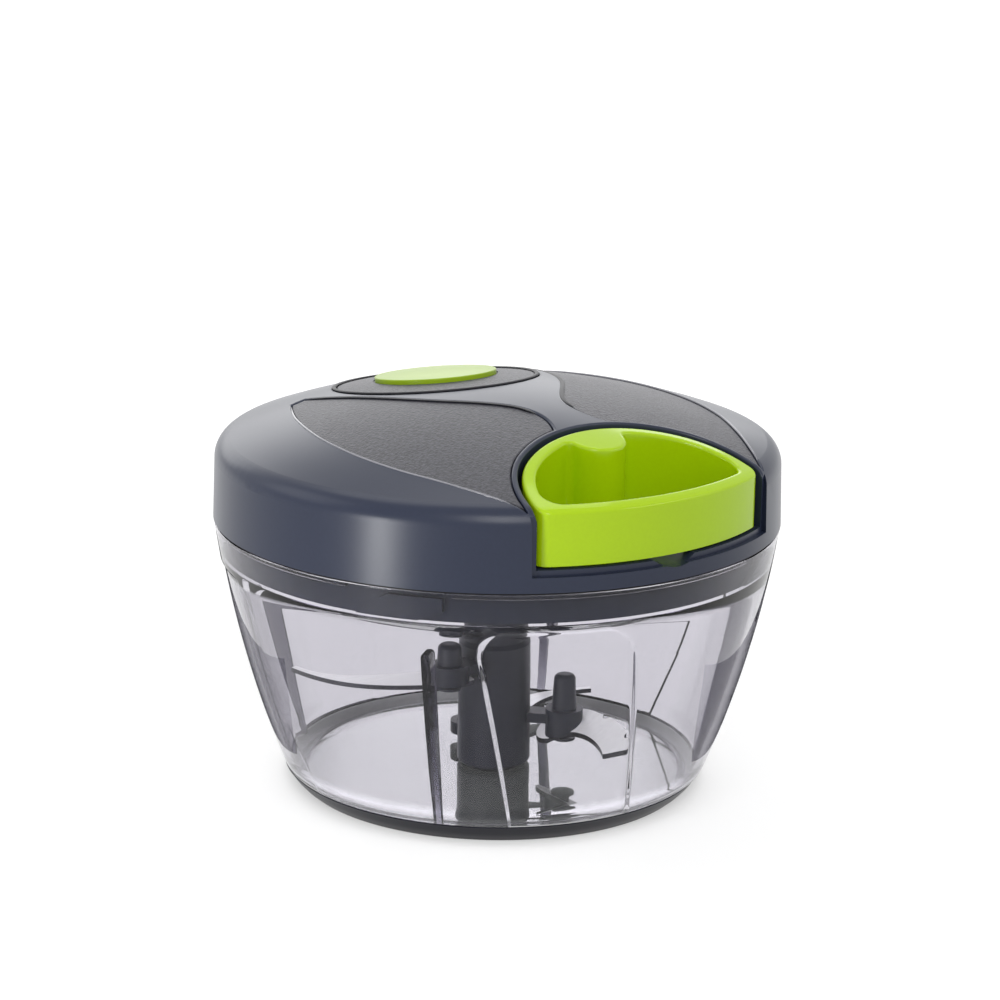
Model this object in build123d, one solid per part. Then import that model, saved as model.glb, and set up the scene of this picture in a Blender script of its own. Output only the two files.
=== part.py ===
"""Pull cord food chopper: clear bowl, bladed shaft, and a domed lid that holds the cord drive.

Lengths are in millimetres. The origin is the centre of the foot, +Z is up and the handle pulls
towards -Y. Angles of places round the axis count from -Y towards +X, in degrees.
"""

import math
import os

from build123d import *

# Whole object
OVERRUN = 6.0

# Bowl
BOWL_RIM_RADIUS = 62.3
BOWL_RIM_Z = 60.2
BOWL_FOOT_RADIUS = 47.9
BOWL_FOOT_Z = 5.4
BOWL_FOOT_STEP = 1.1
BOWL_WALL = 2.1
BOWL_BOW = 1.7
BOWL_UNDERSIDE_Z = 1.0
BOWL_UNDERSIDE_SETBACK = 5.3
BOWL_UNDERSIDE_RADIUS = BOWL_FOOT_RADIUS - BOWL_UNDERSIDE_SETBACK
BOWL_FLOOR_Z = 3.0
BOWL_FLOOR_FILLET = 5.0
BOWL_BAND_Z = 53.0
BOWL_BAND_WALL = 2.2
BOWL_BAND_RADIUS = BOWL_RIM_RADIUS - BOWL_BAND_WALL
BOWL_PIN_BOSS_RADIUS = 5.0
BOWL_PIN_BOSS_DROP = 0.6
BOWL_SECTORS = 4

# Sunk panels in the bowl's wall, one for each sector
PANEL_ANGLE = -19.8
PANEL_DEPTH = 0.6
PANEL_TOP_Z = 51.5
PANEL_SHOULDER_Z = 45.0
PANEL_FOOT_Z = 7.5
PANEL_FOOT_DEPTH = 2.1
PANEL_TOP_LEFT = -20.4
PANEL_TOP_RIGHT = 12.4
PANEL_FOOT_LEFT = -11.0
PANEL_FOOT_RIGHT = 16.2
PANEL_CORNER = 6.5

# Slim ribs inside the bowl, one for each sector
FIN_ANGLE = -51.0
FIN_THICKNESS = 2.0
FIN_FOOT_Z = 3.0
FIN_TOP_Z = 45.8
FIN_FOOT_DEPTH = 3.3
FIN_TOP_DEPTH = 5.46

# Bayonet between bowl and lid, one lug for each sector
LUG_ANGLE = -56.3
LUG_GAP_WIDTH = 22.0
FLANGE_HEIGHT = 1.3
FLANGE_REACH = 3.4
FLANGE_RADIUS = BOWL_RIM_RADIUS - FLANGE_REACH
LUG_SETBACK = 2.5
LUG_RADIUS = BOWL_RIM_RADIUS - LUG_SETBACK
LUG_FOOT_Z = 53.6
LUG_TOP_GAP = 0.3
LUG_LEFT = -9.5
LUG_LEFT_TOP = -4.0
LUG_RIGHT = 9.5
LUG_RIGHT_FOOT = 4.3
LUG_LEAD_HEIGHT = 2.2
LUG_SHOULDER_DROP = 0.9

# Base ring
RING_FOOT_SETBACK = 4.5
RING_FOOT_RADIUS = BOWL_FOOT_RADIUS - RING_FOOT_SETBACK
RING_FOOT_WIDTH = 4.6
RING_BULGE_SETBACK = 2.1
RING_BULGE_RADIUS = BOWL_FOOT_RADIUS - RING_BULGE_SETBACK
RING_BULGE_Z = 2.4
RING_TOP_GAP = 0.1
RING_SEAT = 1.1

# Pivot pin in the bowl's floor
PIVOT_RADIUS = 2.0
PIVOT_TOP_Z = 21.0
PIVOT_SEAT_Z = 0.8
PIVOT_CLEARANCE = 0.08

# Blade shaft
SHAFT_FOOT_GAP = 0.3
SHAFT_FOOT_RADIUS = 8.2
SHAFT_MAIN_RADIUS = 8.0
SHAFT_STEP_Z = 32.0
SHAFT_STEP_HEIGHT = 0.8
SHAFT_NECK_RADIUS = 7.0
SHAFT_HEAD_Z = 54.4
SHAFT_HEAD_HEIGHT = 4.0
SHAFT_CORE_RADIUS = 4.6
SHAFT_BORE_DEPTH = 18.5
SHAFT_FOOT_ROUND = 0.8
DOG_COUNT = 3
DOG_WIDTH = 40.0

# Arms, blades and pegs, from the upper to the lower
ARM_COUNT = 3
ARM_FIRST_ANGLE = -75.3
ARM_LOWS = (25.6, 12.3, 5.2)
BOSS_HEIGHTS = (4.2, 4.2, 2.4)
PEG_HEIGHTS = (4.6, 8.1, 0.5)
BOSS_PLACE_RADIUS = 15.9
BOSS_RADIUS = 4.2
BEAM_HEIGHT = 2.2
BEAM_WIDTH = 5.0
BEAM_RISE_SHARE = 0.5
BLADE_NAMES = ("blade_upper", "blade_middle", "blade_lower")
BLADE_WALL_GAP = 2.3
BLADE_REACH = BOWL_FOOT_RADIUS - BLADE_WALL_GAP
BLADE_THICKNESS = 1.0
BLADE_TURNS = (0.0, 0.0, -9.0)
BLADE_RISES = (0.0, 27.0, 5.0)
BLADE_RISE_ANGLES = (0.0, 32.0, -74.0)
LONG_LEADING_SHARES = (
    (0.26, 15), (0.36, 6), (0.46, -6), (0.56, -14), (0.66, -20.5), (0.78, -28.6), (0.885, -36.9), (1.0, -46),
)
LONG_TRAILING_SHARES = (
    (0.975, -47.5), (0.86, -40.5), (0.75, -36.5), (0.62, -34.5), (0.5, -34), (0.37, -33), (0.25, -28),
)
SHORT_LEADING_SHARES = (
    (0.28, 26), (0.36, 20), (0.44, 12), (0.53, -0.8), (0.61, -9), (0.69, -17), (0.77, -24), (0.85, -29.5),
)
SHORT_TRAILING_SHARES = (
    (0.7, -33), (0.63, -28), (0.55, -22), (0.46, -15.5), (0.38, -11), (0.29, -14),
)
BLADE_ROOT_SHARE = 0.215
NOTCH_SHARES = ((0.575, -4.5), (0.76, -22.0))
NOTCH_RADIUS = 1.3
PEG_STEM_RADIUS = 1.5
PEG_CLEARANCE = 0.05
PEG_HEAD_RADIUS = 2.8
PEG_TAPER_SHARE = 0.055
PEG_TIP_ROUND_SHARE = 0.4
PEG_TIP_ROUND = 1.2
PEG_FOOT_RADIUS = 2.6
PEG_FOOT_HEIGHT = 0.6

# Lid cover
LID_OVERHANG = 0.2
LID_EDGE_RADIUS = BOWL_RIM_RADIUS + LID_OVERHANG
LID_EDGE_Z = 60.7
LID_WALL_LEAN = 0.5
LID_WALL_RADIUS = LID_EDGE_RADIUS - LID_WALL_LEAN
LID_DOME_RADIUS = 167.6
LID_DOME_Z = 89.2
LID_SHOULDER_ROUND = 5.0
LID_THICKNESS = 2.2
LID_DOME_THICKNESS = 2.5
LID_INNER_ROUND = 3.0
LIP_ROUND = 0.5
LIP_FOOT_Z = 76.0
LIP_REACH = 0.03
LIP_SHARES = (0.1, 0.5, 0.9)

# Lid seal
SEAL_HEIGHT = 0.5
SEAL_SETBACK = 0.5
SEAL_OUTER_RADIUS = LID_EDGE_RADIUS - SEAL_SETBACK
SEAL_INNER_GAP = 0.1
SEAL_INNER_RADIUS = FLANGE_RADIUS + SEAL_INNER_GAP

# Handle and its recess
HANDLE_REAR = 30.5
HANDLE_REAR_ARC = 34.9
HANDLE_REAR_HALF = 20.0
HANDLE_SIDE_HALF = 29.1
HANDLE_SETBACK = 1.3
HANDLE_FRONT_RADIUS = LID_WALL_RADIUS - HANDLE_SETBACK
HANDLE_CORNER = 3.2
HANDLE_FOOT_Z = 65.7
HANDLE_DROP = 0.5
HANDLE_RIM = 2.9
HANDLE_INNER_CORNER = 4.5
HANDLE_EDGE_ROUND = 0.8
HANDLE_BOSS_RADIUS = 6.6
HANDLE_BOSS_CENTRE = 34.0
HANDLE_BOSS_BLEND = 1.6
KNOT_CHAMBER_RADIUS = 3.2
KNOT_CHAMBER_TOP = 3.4
KNOT_RADIUS = 2.5
RECESS_GAP = 0.9
RECESS_WALL = 2.0
RECESS_FLOOR_Z = 65.2
RECESS_UNDERSIDE_Z = 62.0
RECESS_EDGE_CUT = 1.3
SCOOP_RADIUS = 8.9
SCOOP_DEPTH = 1.8
SCOOP_LENGTH = 13.0

# Inlays on the dome
PAD_DEPTH = 1.3
PAD_DROP = 0.3
PAD_GAP = 0.15
PAD_SETBACK = 1.4
PAD_ROUND = 0.4
PAD_OUTER_SHARES = (
    (0.836, 0.49), (0.68, 0.565), (0.535, 0.63), (0.37, 0.69), (0.165, 0.722), (-0.066, 0.707),
    (-0.32, 0.63), (-0.53, 0.515),
)
PAD_INNER_SHARES = (
    (-0.545, 0.452), (-0.35, 0.408), (-0.16, 0.352), (0.01, 0.268), (0.165, 0.147), (0.25, 0.094),
    (0.34, 0.079), (0.43, 0.1), (0.56, 0.2),
)
DISC_CENTRE_SHARE = 0.3824
DISC_RADIUS_SHARE = 0.3568
DISC_CENTRE = DISC_CENTRE_SHARE * LID_EDGE_RADIUS
DISC_RADIUS = DISC_RADIUS_SHARE * LID_EDGE_RADIUS
DISC_GROOVE = 0.9
DISC_DEPTH = 1.6
DISC_DROP = 0.1
CAP_SETBACK = 8.6
CAP_RADIUS = DISC_RADIUS - CAP_SETBACK
CAP_GAP = 0.35
CAP_SEAT = 0.9
CAP_EDGE = 0.3
CAP_CROWN = 0.7
CAP_ROUND = 0.25

# Lid base
BASE_SKIRT_SETBACK = 3.8
BASE_SKIRT_RADIUS = BOWL_RIM_RADIUS - BASE_SKIRT_SETBACK
BASE_SKIRT_WALL = 1.9
BASE_SKIRT_Z = 53.5
BASE_FLANGE_GAP = 0.2
BASE_TOP_Z = 61.9
BASE_FLOOR_Z = 57.0
BASE_FLOOR = 2.0
BASE_BOSS_RADIUS = 12.6
BASE_BOSS_Z = 54.5
BASE_BOSS_TOP_Z = 60.3
BASE_RIB_COUNT = 8
BASE_RIB_THICKNESS = 1.4
BASE_RIB_HEIGHT = 1.6
BASE_RIB_START = 24.5
BASE_RIB_PHASE = 22.5

# Lid screws
SCREW_SETBACK = 9.0
SCREW_CIRCLE = BASE_SKIRT_RADIUS - SCREW_SETBACK
SCREW_COUNT = 4
SCREW_PHASE = 45.0
SCREW_SHANK_RADIUS = 1.4
SCREW_HEAD_RADIUS = 2.8
SCREW_HEAD_HEIGHT = 1.5
SCREW_LENGTH = 9.0
SCREW_CLEARANCE = 0.1
SCREW_SLOT_WIDTH = 0.8
SCREW_SLOT_DEPTH = 0.7
SCREW_SEAT_HEIGHT = 2.0
SCREW_POST_RADIUS = 3.6
SCREW_POST_GAP = 0.1

# Drive hub
HUB_NECK_RADIUS = 9.6
HUB_CLEARANCE = 0.1
HUB_SOCKET_RADIUS = 7.4
HUB_NECK_Z = 54.3
HUB_WEB_Z = 60.4
HUB_WEB = 1.8
HUB_CUP_RADIUS = 21.0
HUB_CUP_WALL = 2.0
HUB_CUP_TOP_Z = 67.6
HUB_DOG_RADIUS = 5.0
HUB_DOG_WIDTH = 26.0
HUB_DOG_Z = 55.3
TOOTH_COUNT = 12
TOOTH_DEPTH = 2.2

# Pawls and their pins
PAWL_COUNT = 3
PAWL_PIVOT_RADIUS = 11.0
PAWL_REACH_ANGLE = 45.0
PAWL_TIP_RADIUS = 18.0
PAWL_TIP_WIDTH = 2.0
PAWL_EYE_RADIUS = 2.4
PAWL_FOOT_Z = 63.4
PAWL_TOP_Z = 67.9
PAWL_TOOTH_GAP = 5.8
PAWL_PIN_RADIUS = 1.2
PAWL_PIN_CLEARANCE = 0.08
PAWL_PIN_HEAD_RADIUS = 1.9
PAWL_PIN_HEAD_HEIGHT = 0.6
PAWL_PIN_GAP = 0.1
PAWL_PIN_SEAT = 1.1

# Spool, spring and axle
SPOOL_FLANGE_RADIUS = 23.5
SPOOL_FLANGE = 1.5
SPOOL_FOOT_Z = 68.5
SPOOL_DRUM_RADIUS = 17.5
SPOOL_DRUM_WALL = 2.0
SPOOL_TOP_Z = 79.4
SPRING_CAP_THICKNESS = 1.0
SPRING_CAP_GAP = 0.15
SPRING_TURNS = 6
SPRING_STRIP = 0.4
SPRING_START_RADIUS = 6.0
SPRING_PITCH = 1.4
SPRING_FLOOR_GAP = 0.8
SPRING_HEIGHT = 6.4
ARBOR_RADIUS = 5.2
ARBOR_GAP = 0.3
ARBOR_SLOT = 1.0
AXLE_RADIUS = 2.5
AXLE_CLEARANCE = 0.08
AXLE_FOOT_Z = 58.9
AXLE_TOP_Z = 85.6
CLIP_RADIUS = 4.4
CLIP_THICKNESS = 0.8
CLIP_GAP = 0.1
CLIP_MOUTH = 3.0

# Cord and eyelet
CORD_RADIUS = 1.0
CORD_Z = 74.0
CORD_WIND_RADIUS = 19.6
CORD_PACK_GAP = 0.2
CORD_BEND_REACH = 25.4
CORD_BEND_RADIUS = 4.0
CORD_HOLE_CLEARANCE = 0.15
EYELET_RADIUS = 2.2
EYELET_FLANGE_RADIUS = 3.3
EYELET_FLANGE = 0.6
KNOT_PLACE = 37.0


def place(radius, angle):
    """Point in plan at a radius and an angle from -Y towards +X."""
    return (radius * math.sin(math.radians(angle)), -radius * math.cos(math.radians(angle)))


def spin(shape, angle):
    """The shape turned about the axis of the object."""
    return Rot(0, 0, angle) * shape


def around(shape, count, first=0.0):
    """Copies of a shape, evenly spaced about the axis."""
    return [spin(shape, first + index * 360.0 / count) for index in range(count)]


def turned(points):
    """Solid of revolution about the axis from (radius, height) points joined by straight lines."""
    return revolve(Plane.XZ * make_face(Polyline(*points, close=True)), Axis.Z)


def tube(outer, inner, low, high):
    """Straight ring between two radii and two heights."""
    return turned(((inner, low), (outer, low), (outer, high), (inner, high)))


def rod(radius, low, high, centre=(0, 0)):
    """Upright cylinder on a point in plan."""
    return extrude(Pos(centre[0], centre[1], low) * Circle(radius), high - low)


def sector(outer, inner, low, high, angle, width):
    """Part of a straight ring, centred on an angle and a number of degrees wide."""
    outline = Polyline((inner, low), (outer, low), (outer, high), (inner, high), close=True)
    piece = revolve(Plane.XZ * make_face(outline), Axis.Z, revolution_arc=width)
    return spin(piece, angle - 90 - width / 2)


def wall_radius(height):
    """Outer radius of the bowl's bowed wall at a height."""
    run = BOWL_RIM_RADIUS - BOWL_FOOT_RADIUS
    rise = BOWL_RIM_Z - BOWL_FOOT_Z
    chord = math.hypot(run, rise)
    bow_radius = (chord * chord / 4 + BOWL_BOW * BOWL_BOW) / (2 * BOWL_BOW)
    centre_r = (BOWL_RIM_RADIUS + BOWL_FOOT_RADIUS) / 2 - (bow_radius - BOWL_BOW) * rise / chord
    centre_z = (BOWL_RIM_Z + BOWL_FOOT_Z) / 2 + (bow_radius - BOWL_BOW) * run / chord
    return centre_r + math.sqrt(bow_radius ** 2 - (height - centre_z) ** 2)


def wall_arc(low, high, inset):
    """Arc of the bowl's wall between two heights, moved inwards by an inset."""
    middle = (low + high) / 2
    return ThreePointArc(
        (wall_radius(low) - inset, low),
        (wall_radius(middle) - inset, middle),
        (wall_radius(high) - inset, high),
    )


def bowl_body(inset):
    """Solid that fills the bowl's outside, moved inwards by an inset."""
    arc = wall_arc(BOWL_FOOT_Z, BOWL_RIM_Z, inset)
    step = (BOWL_FOOT_RADIUS - BOWL_FOOT_STEP - inset, BOWL_FOOT_Z)
    foot = ThreePointArc(
        (BOWL_UNDERSIDE_RADIUS - inset, BOWL_UNDERSIDE_Z),
        (
            (BOWL_UNDERSIDE_RADIUS + BOWL_FOOT_RADIUS) / 2 + BOWL_FOOT_STEP / 2 - inset,
            BOWL_UNDERSIDE_Z + (BOWL_FOOT_Z - BOWL_UNDERSIDE_Z) / 3,
        ),
        step,
    )
    rest = Polyline(
        (arc @ 1), (0, BOWL_RIM_Z), (0, BOWL_UNDERSIDE_Z), (BOWL_UNDERSIDE_RADIUS - inset, BOWL_UNDERSIDE_Z)
    )
    return revolve(Plane.XZ * make_face(foot + Line(step, arc @ 0) + arc + rest), Axis.Z)


def bowl_hollow():
    """Solid of the room inside the bowl."""
    arc = wall_arc(BOWL_FLOOR_Z, BOWL_BAND_Z, BOWL_WALL)
    rest = Polyline(
        (arc @ 1),
        (BOWL_BAND_RADIUS, BOWL_BAND_Z),
        (BOWL_BAND_RADIUS, BOWL_RIM_Z + OVERRUN),
        (0, BOWL_RIM_Z + OVERRUN),
        (0, BOWL_FLOOR_Z),
        (arc @ 0),
    )
    face = make_face(arc + rest)
    corner = face.vertices().sort_by_distance(arc @ 0)[0]
    return revolve(Plane.XZ * fillet(corner, BOWL_FLOOR_FILLET), Axis.Z)


def wall_skin(depth, low, high):
    """Ring that cuts the outside of the bowl's wall to a depth between two heights."""
    outer = tube(BOWL_RIM_RADIUS + OVERRUN, BOWL_UNDERSIDE_RADIUS - OVERRUN, low, high)
    arc = wall_arc(BOWL_UNDERSIDE_Z, BOWL_RIM_Z, depth)
    closing = Polyline((arc @ 1), (0, BOWL_RIM_Z), (0, BOWL_UNDERSIDE_Z), (arc @ 0))
    return outer - revolve(Plane.XZ * make_face(arc + closing), Axis.Z)


def panel_prism(low):
    """Leaning inverted U, drawn on the wall and carried through to the axis."""
    slope_left = (PANEL_TOP_LEFT - PANEL_FOOT_LEFT) / (PANEL_SHOULDER_Z - PANEL_FOOT_Z)
    slope_right = (PANEL_TOP_RIGHT - PANEL_FOOT_RIGHT) / (PANEL_SHOULDER_Z - PANEL_FOOT_Z)
    rise = PANEL_TOP_Z - PANEL_FOOT_Z
    outline = make_face(
        Polyline(
            (PANEL_FOOT_LEFT + slope_left * (low - PANEL_FOOT_Z), low),
            (PANEL_FOOT_RIGHT + slope_right * (low - PANEL_FOOT_Z), low),
            (PANEL_FOOT_RIGHT + slope_right * rise, PANEL_TOP_Z),
            (PANEL_FOOT_LEFT + slope_left * rise, PANEL_TOP_Z),
            close=True,
        )
    )
    outline = fillet(outline.vertices().sort_by(Axis.Y)[-2:], PANEL_CORNER)
    return extrude(Plane.XZ * outline, BOWL_RIM_RADIUS + OVERRUN)


def make_bowl():
    """Clear bowl with its sunk panels, ribs and bayonet flange."""
    bowl = bowl_body(0) - bowl_hollow()
    bowl += rod(BOWL_PIN_BOSS_RADIUS, BOWL_UNDERSIDE_Z - BOWL_PIN_BOSS_DROP, BOWL_UNDERSIDE_Z)
    fin = extrude(
        Plane.XZ * make_face(
            Polyline(
                (BOWL_FOOT_RADIUS - FIN_FOOT_DEPTH, FIN_FOOT_Z),
                (BOWL_RIM_RADIUS, FIN_FOOT_Z),
                (BOWL_RIM_RADIUS, FIN_TOP_Z),
                (wall_radius(FIN_TOP_Z) - FIN_TOP_DEPTH, FIN_TOP_Z),
                close=True,
            )
        ),
        FIN_THICKNESS / 2,
        both=True,
    )
    fin = spin(fin, FIN_ANGLE - 90) & bowl_body(BOWL_WALL / 2)
    bowl += around(fin, BOWL_SECTORS)
    flange_width = 360 / BOWL_SECTORS - LUG_GAP_WIDTH
    flange = sector(
        BOWL_BAND_RADIUS + BOWL_WALL / 2,
        FLANGE_RADIUS,
        BOWL_RIM_Z - FLANGE_HEIGHT,
        BOWL_RIM_Z,
        LUG_ANGLE + 180 / BOWL_SECTORS,
        flange_width,
    )
    bowl += around(flange, BOWL_SECTORS)
    panel = panel_prism(PANEL_FOOT_Z) & wall_skin(PANEL_DEPTH, PANEL_FOOT_Z, PANEL_TOP_Z)
    foot = panel_prism(BOWL_FOOT_Z) & wall_skin(PANEL_FOOT_DEPTH, BOWL_FOOT_Z, PANEL_FOOT_Z)
    bowl -= around(panel, BOWL_SECTORS, PANEL_ANGLE)
    bowl -= around(foot, BOWL_SECTORS, PANEL_ANGLE)
    return bowl - rod(PIVOT_RADIUS, PIVOT_SEAT_Z, BOWL_FLOOR_Z + OVERRUN)


def make_base_ring():
    """Soft ring that wraps the foot of the bowl and ends flush with its wall."""
    top = BOWL_FOOT_Z - RING_TOP_GAP
    outside = ThreePointArc(
        (RING_FOOT_RADIUS, 0), (RING_BULGE_RADIUS, RING_BULGE_Z), (BOWL_FOOT_RADIUS, top)
    )
    inner = RING_FOOT_RADIUS - RING_FOOT_WIDTH
    rest = Polyline((outside @ 1), (inner, top), (inner, 0), (outside @ 0))
    ring = revolve(Plane.XZ * make_face(outside + rest), Axis.Z)
    seat = rod(BOWL_UNDERSIDE_RADIUS, BOWL_UNDERSIDE_Z, BOWL_UNDERSIDE_Z + RING_SEAT)
    return ring - bowl_body(0) - rod(inner, -OVERRUN, OVERRUN) - seat


def make_pivot_pin():
    """Steel pin that stands in the bowl's floor."""
    pin = rod(PIVOT_RADIUS, PIVOT_SEAT_Z, PIVOT_TOP_Z)
    return fillet(pin.edges().sort_by(Axis.Z)[-1], PIVOT_RADIUS / 2)


def boss_place():
    """Centre of an arm's boss in plan, for the arm that points to -Y."""
    return place(BOSS_PLACE_RADIUS, 0)


def make_arm(index):
    """Arm with its round boss, pointing to -Y, its underside cut to the slope of its blade."""
    centre = boss_place()
    low = ARM_LOWS[index]
    height = BOSS_HEIGHTS[index]
    beam_z = low + BEAM_HEIGHT / 2 + (height - BEAM_HEIGHT) * BEAM_RISE_SHARE
    arm = Pos(0, centre[1] / 2, beam_z) * Box(BEAM_WIDTH, BOSS_PLACE_RADIUS, BEAM_HEIGHT)
    drop = BOSS_RADIUS * math.tan(math.radians(BLADE_RISES[index]))
    arm += rod(BOSS_RADIUS, low - drop, low + height, centre)
    arm -= blade_slab(index, 2 * height)
    return arm - rod(PEG_STEM_RADIUS + PEG_CLEARANCE, 0, 2 * low + height, centre)


def arm_angle(index):
    """Angle of an arm round the axis."""
    return ARM_FIRST_ANGLE + index * 360 / ARM_COUNT


def make_blade_shaft():
    """Stem with three arms below and the driven dogs on its head."""
    foot = BOWL_FLOOR_Z + SHAFT_FOOT_GAP
    shaft = turned(
        (
            (0, foot),
            (SHAFT_FOOT_RADIUS - SHAFT_FOOT_ROUND, foot),
            (SHAFT_FOOT_RADIUS, foot + SHAFT_FOOT_ROUND),
            (SHAFT_MAIN_RADIUS, SHAFT_STEP_Z - SHAFT_STEP_HEIGHT),
            (SHAFT_NECK_RADIUS, SHAFT_STEP_Z),
            (SHAFT_NECK_RADIUS, SHAFT_HEAD_Z),
            (0, SHAFT_HEAD_Z),
        )
    )
    head_top = SHAFT_HEAD_Z + SHAFT_HEAD_HEIGHT
    shaft += rod(SHAFT_CORE_RADIUS, SHAFT_HEAD_Z, head_top)
    dog = sector(
        SHAFT_NECK_RADIUS, SHAFT_CORE_RADIUS / 2, SHAFT_HEAD_Z, head_top, ARM_FIRST_ANGLE, DOG_WIDTH
    )
    shaft += around(dog, DOG_COUNT)
    for index in range(ARM_COUNT):
        shaft += spin(make_arm(index), arm_angle(index))
    return shaft - rod(PIVOT_RADIUS + PIVOT_CLEARANCE, foot - OVERRUN, foot + SHAFT_BORE_DEPTH)


def blade_plan(index):
    """Outline of a blade as seen from above, hung from the boss that lies at -Y."""
    short = index == 1
    leading_shares = SHORT_LEADING_SHARES if short else LONG_LEADING_SHARES
    trailing_shares = SHORT_TRAILING_SHARES if short else LONG_TRAILING_SHARES
    leading = [place(share * BLADE_REACH, angle) for share, angle in leading_shares]
    trailing = [place(share * BLADE_REACH, angle) for share, angle in trailing_shares]
    root = place(BLADE_ROOT_SHARE * BLADE_REACH, 0)
    edges = Spline(*leading) + Line(leading[-1], trailing[0]) + Spline(*trailing)
    edges += ThreePointArc(trailing[-1], root, leading[0])
    plan = make_face(edges)
    if short:
        for share, turn in NOTCH_SHARES:
            plan -= Pos(*place(share * BLADE_REACH, turn)) * Circle(NOTCH_RADIUS)
    x, y = boss_place()
    return Pos(x, y) * Rot(0, 0, BLADE_TURNS[index]) * Pos(-x, -y) * plan


def blade_slab(index, thickness):
    """Wide plate that climbs the way the blade does and lies under its boss."""
    x, y = boss_place()
    toward = place(1, BLADE_RISE_ANGLES[index])
    level = Plane(origin=(x, y, ARM_LOWS[index]), x_dir=(*toward, 0), z_dir=(0, 0, 1))
    plate = Pos(0, 0, -thickness / 2) * Box(4 * BLADE_REACH, 4 * BLADE_REACH, thickness)
    return level * Rot(0, -BLADE_RISES[index], 0) * plate


def make_blade(index):
    """Blade in its place under its arm's boss."""
    blank = extrude(blade_plan(index), ARM_LOWS[index] + BLADE_REACH)
    blade = blank & blade_slab(index, BLADE_THICKNESS)
    blade -= rod(PEG_STEM_RADIUS + PEG_CLEARANCE, 0, 2 * ARM_LOWS[index] + BOSS_HEIGHTS[index], boss_place())
    return spin(blade, arm_angle(index))


def make_peg(index):
    """Tapered peg above the boss, its stem, and the riveted foot under the blade."""
    seat = ARM_LOWS[index] + BOSS_HEIGHTS[index]
    height = PEG_HEIGHTS[index]
    tip_radius = PEG_HEAD_RADIUS - PEG_TAPER_SHARE * height
    slope = math.radians(BLADE_RISES[index])
    foot = ARM_LOWS[index] - BLADE_THICKNESS / math.cos(slope) - PEG_FOOT_RADIUS * math.tan(slope)
    x, y = boss_place()
    outline = make_face(
        Polyline((0, seat), (PEG_HEAD_RADIUS, seat), (tip_radius, seat + height), (0, seat + height), close=True)
    )
    corner = outline.vertices().sort_by_distance((tip_radius, seat + height))[0]
    head = Plane.XZ * fillet(corner, min(PEG_TIP_ROUND, PEG_TIP_ROUND_SHARE * height))
    peg = Pos(x, y, 0) * revolve(head, Axis.Z)
    peg += rod(PEG_STEM_RADIUS, foot, seat, (x, y))
    peg += rod(PEG_FOOT_RADIUS, foot - PEG_FOOT_HEIGHT, foot, (x, y))
    return spin(peg, arm_angle(index))


def dome_z(radius, drop=0.0):
    """Height of the dome at a radius, lowered by a drop."""
    return LID_DOME_Z - drop - LID_DOME_RADIUS + math.sqrt(LID_DOME_RADIUS ** 2 - radius ** 2)


def dome_body(edge_radius, wall_radius_top, round_radius, drop, low):
    """Solid under the dome, lowered by a drop, with a rounded shoulder."""
    arc = ThreePointArc(
        (wall_radius_top, dome_z(wall_radius_top, drop)),
        (wall_radius_top / 2, dome_z(wall_radius_top / 2, drop)),
        (0, dome_z(0, drop)),
    )
    rest = Polyline((arc @ 1), (0, low), (edge_radius, low), (arc @ 0))
    face = make_face(arc + rest)
    shoulder = face.vertices().sort_by_distance(arc @ 0)[0]
    return revolve(Plane.XZ * fillet(shoulder, round_radius), Axis.Z)


def lid_body(drop):
    """Solid of the lid's outside above its edge, with the dome lowered by a drop."""
    return dome_body(LID_EDGE_RADIUS, LID_WALL_RADIUS, LID_SHOULDER_ROUND, drop, LID_EDGE_Z)


def lip_edges(shape, outline, drop, reach):
    """Edges in which a cut that follows an outline in plan meets the dome's skin, lowered by a drop."""
    wire = outline.faces()[0].outer_wire()
    below = lid_body(drop + LIP_REACH).solids()[0]
    picked = []
    for edge in shape.edges():
        if edge.bounding_box().min.Z < LIP_FOOT_Z:
            continue
        points = [edge @ share for share in LIP_SHARES]
        on_line = all(wire.distance_to(Vertex(point.X, point.Y, 0)) < reach for point in points)
        if on_line and not any(below.is_inside(point) for point in points):
            picked.append(edge)
    return picked


def handle_sides(grow):
    """Plan of the handle's rear and sides, carried on past the lid's edge and grown by a gap."""
    turn = math.asin(HANDLE_REAR_HALF / HANDLE_REAR_ARC)
    rear_point = HANDLE_REAR + HANDLE_REAR_ARC * (1 - math.cos(turn))
    side_arc = (HANDLE_SIDE_HALF - HANDLE_REAR_HALF) / (1 - math.sin(turn))
    side = (HANDLE_SIDE_HALF, -rear_point - side_arc * math.cos(turn))
    rear = ThreePointArc(
        (-HANDLE_REAR_HALF, -rear_point), (0, -HANDLE_REAR), (HANDLE_REAR_HALF, -rear_point)
    )
    right = TangentArc((HANDLE_REAR_HALF, -rear_point), side, tangent=rear % 1)
    left = mirror(right, Plane.YZ)
    reach = -LID_EDGE_RADIUS - 2 * OVERRUN
    front = Polyline(
        side, (HANDLE_SIDE_HALF, reach), (-HANDLE_SIDE_HALF, reach), (-HANDLE_SIDE_HALF, side[1])
    )
    plan = make_face(rear + right + left + front)
    return offset(plan, grow, kind=Kind.INTERSECTION) if grow else plan


def handle_plan(inset, corner):
    """Plan of the handle's loop, moved inwards by an inset, with rounded front corners."""
    front = Circle(HANDLE_FRONT_RADIUS - inset)
    plan = handle_sides(-inset) & front
    corners = plan.vertices().sort_by(Axis.Y)[:2]
    return fillet(corners, corner)


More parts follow.
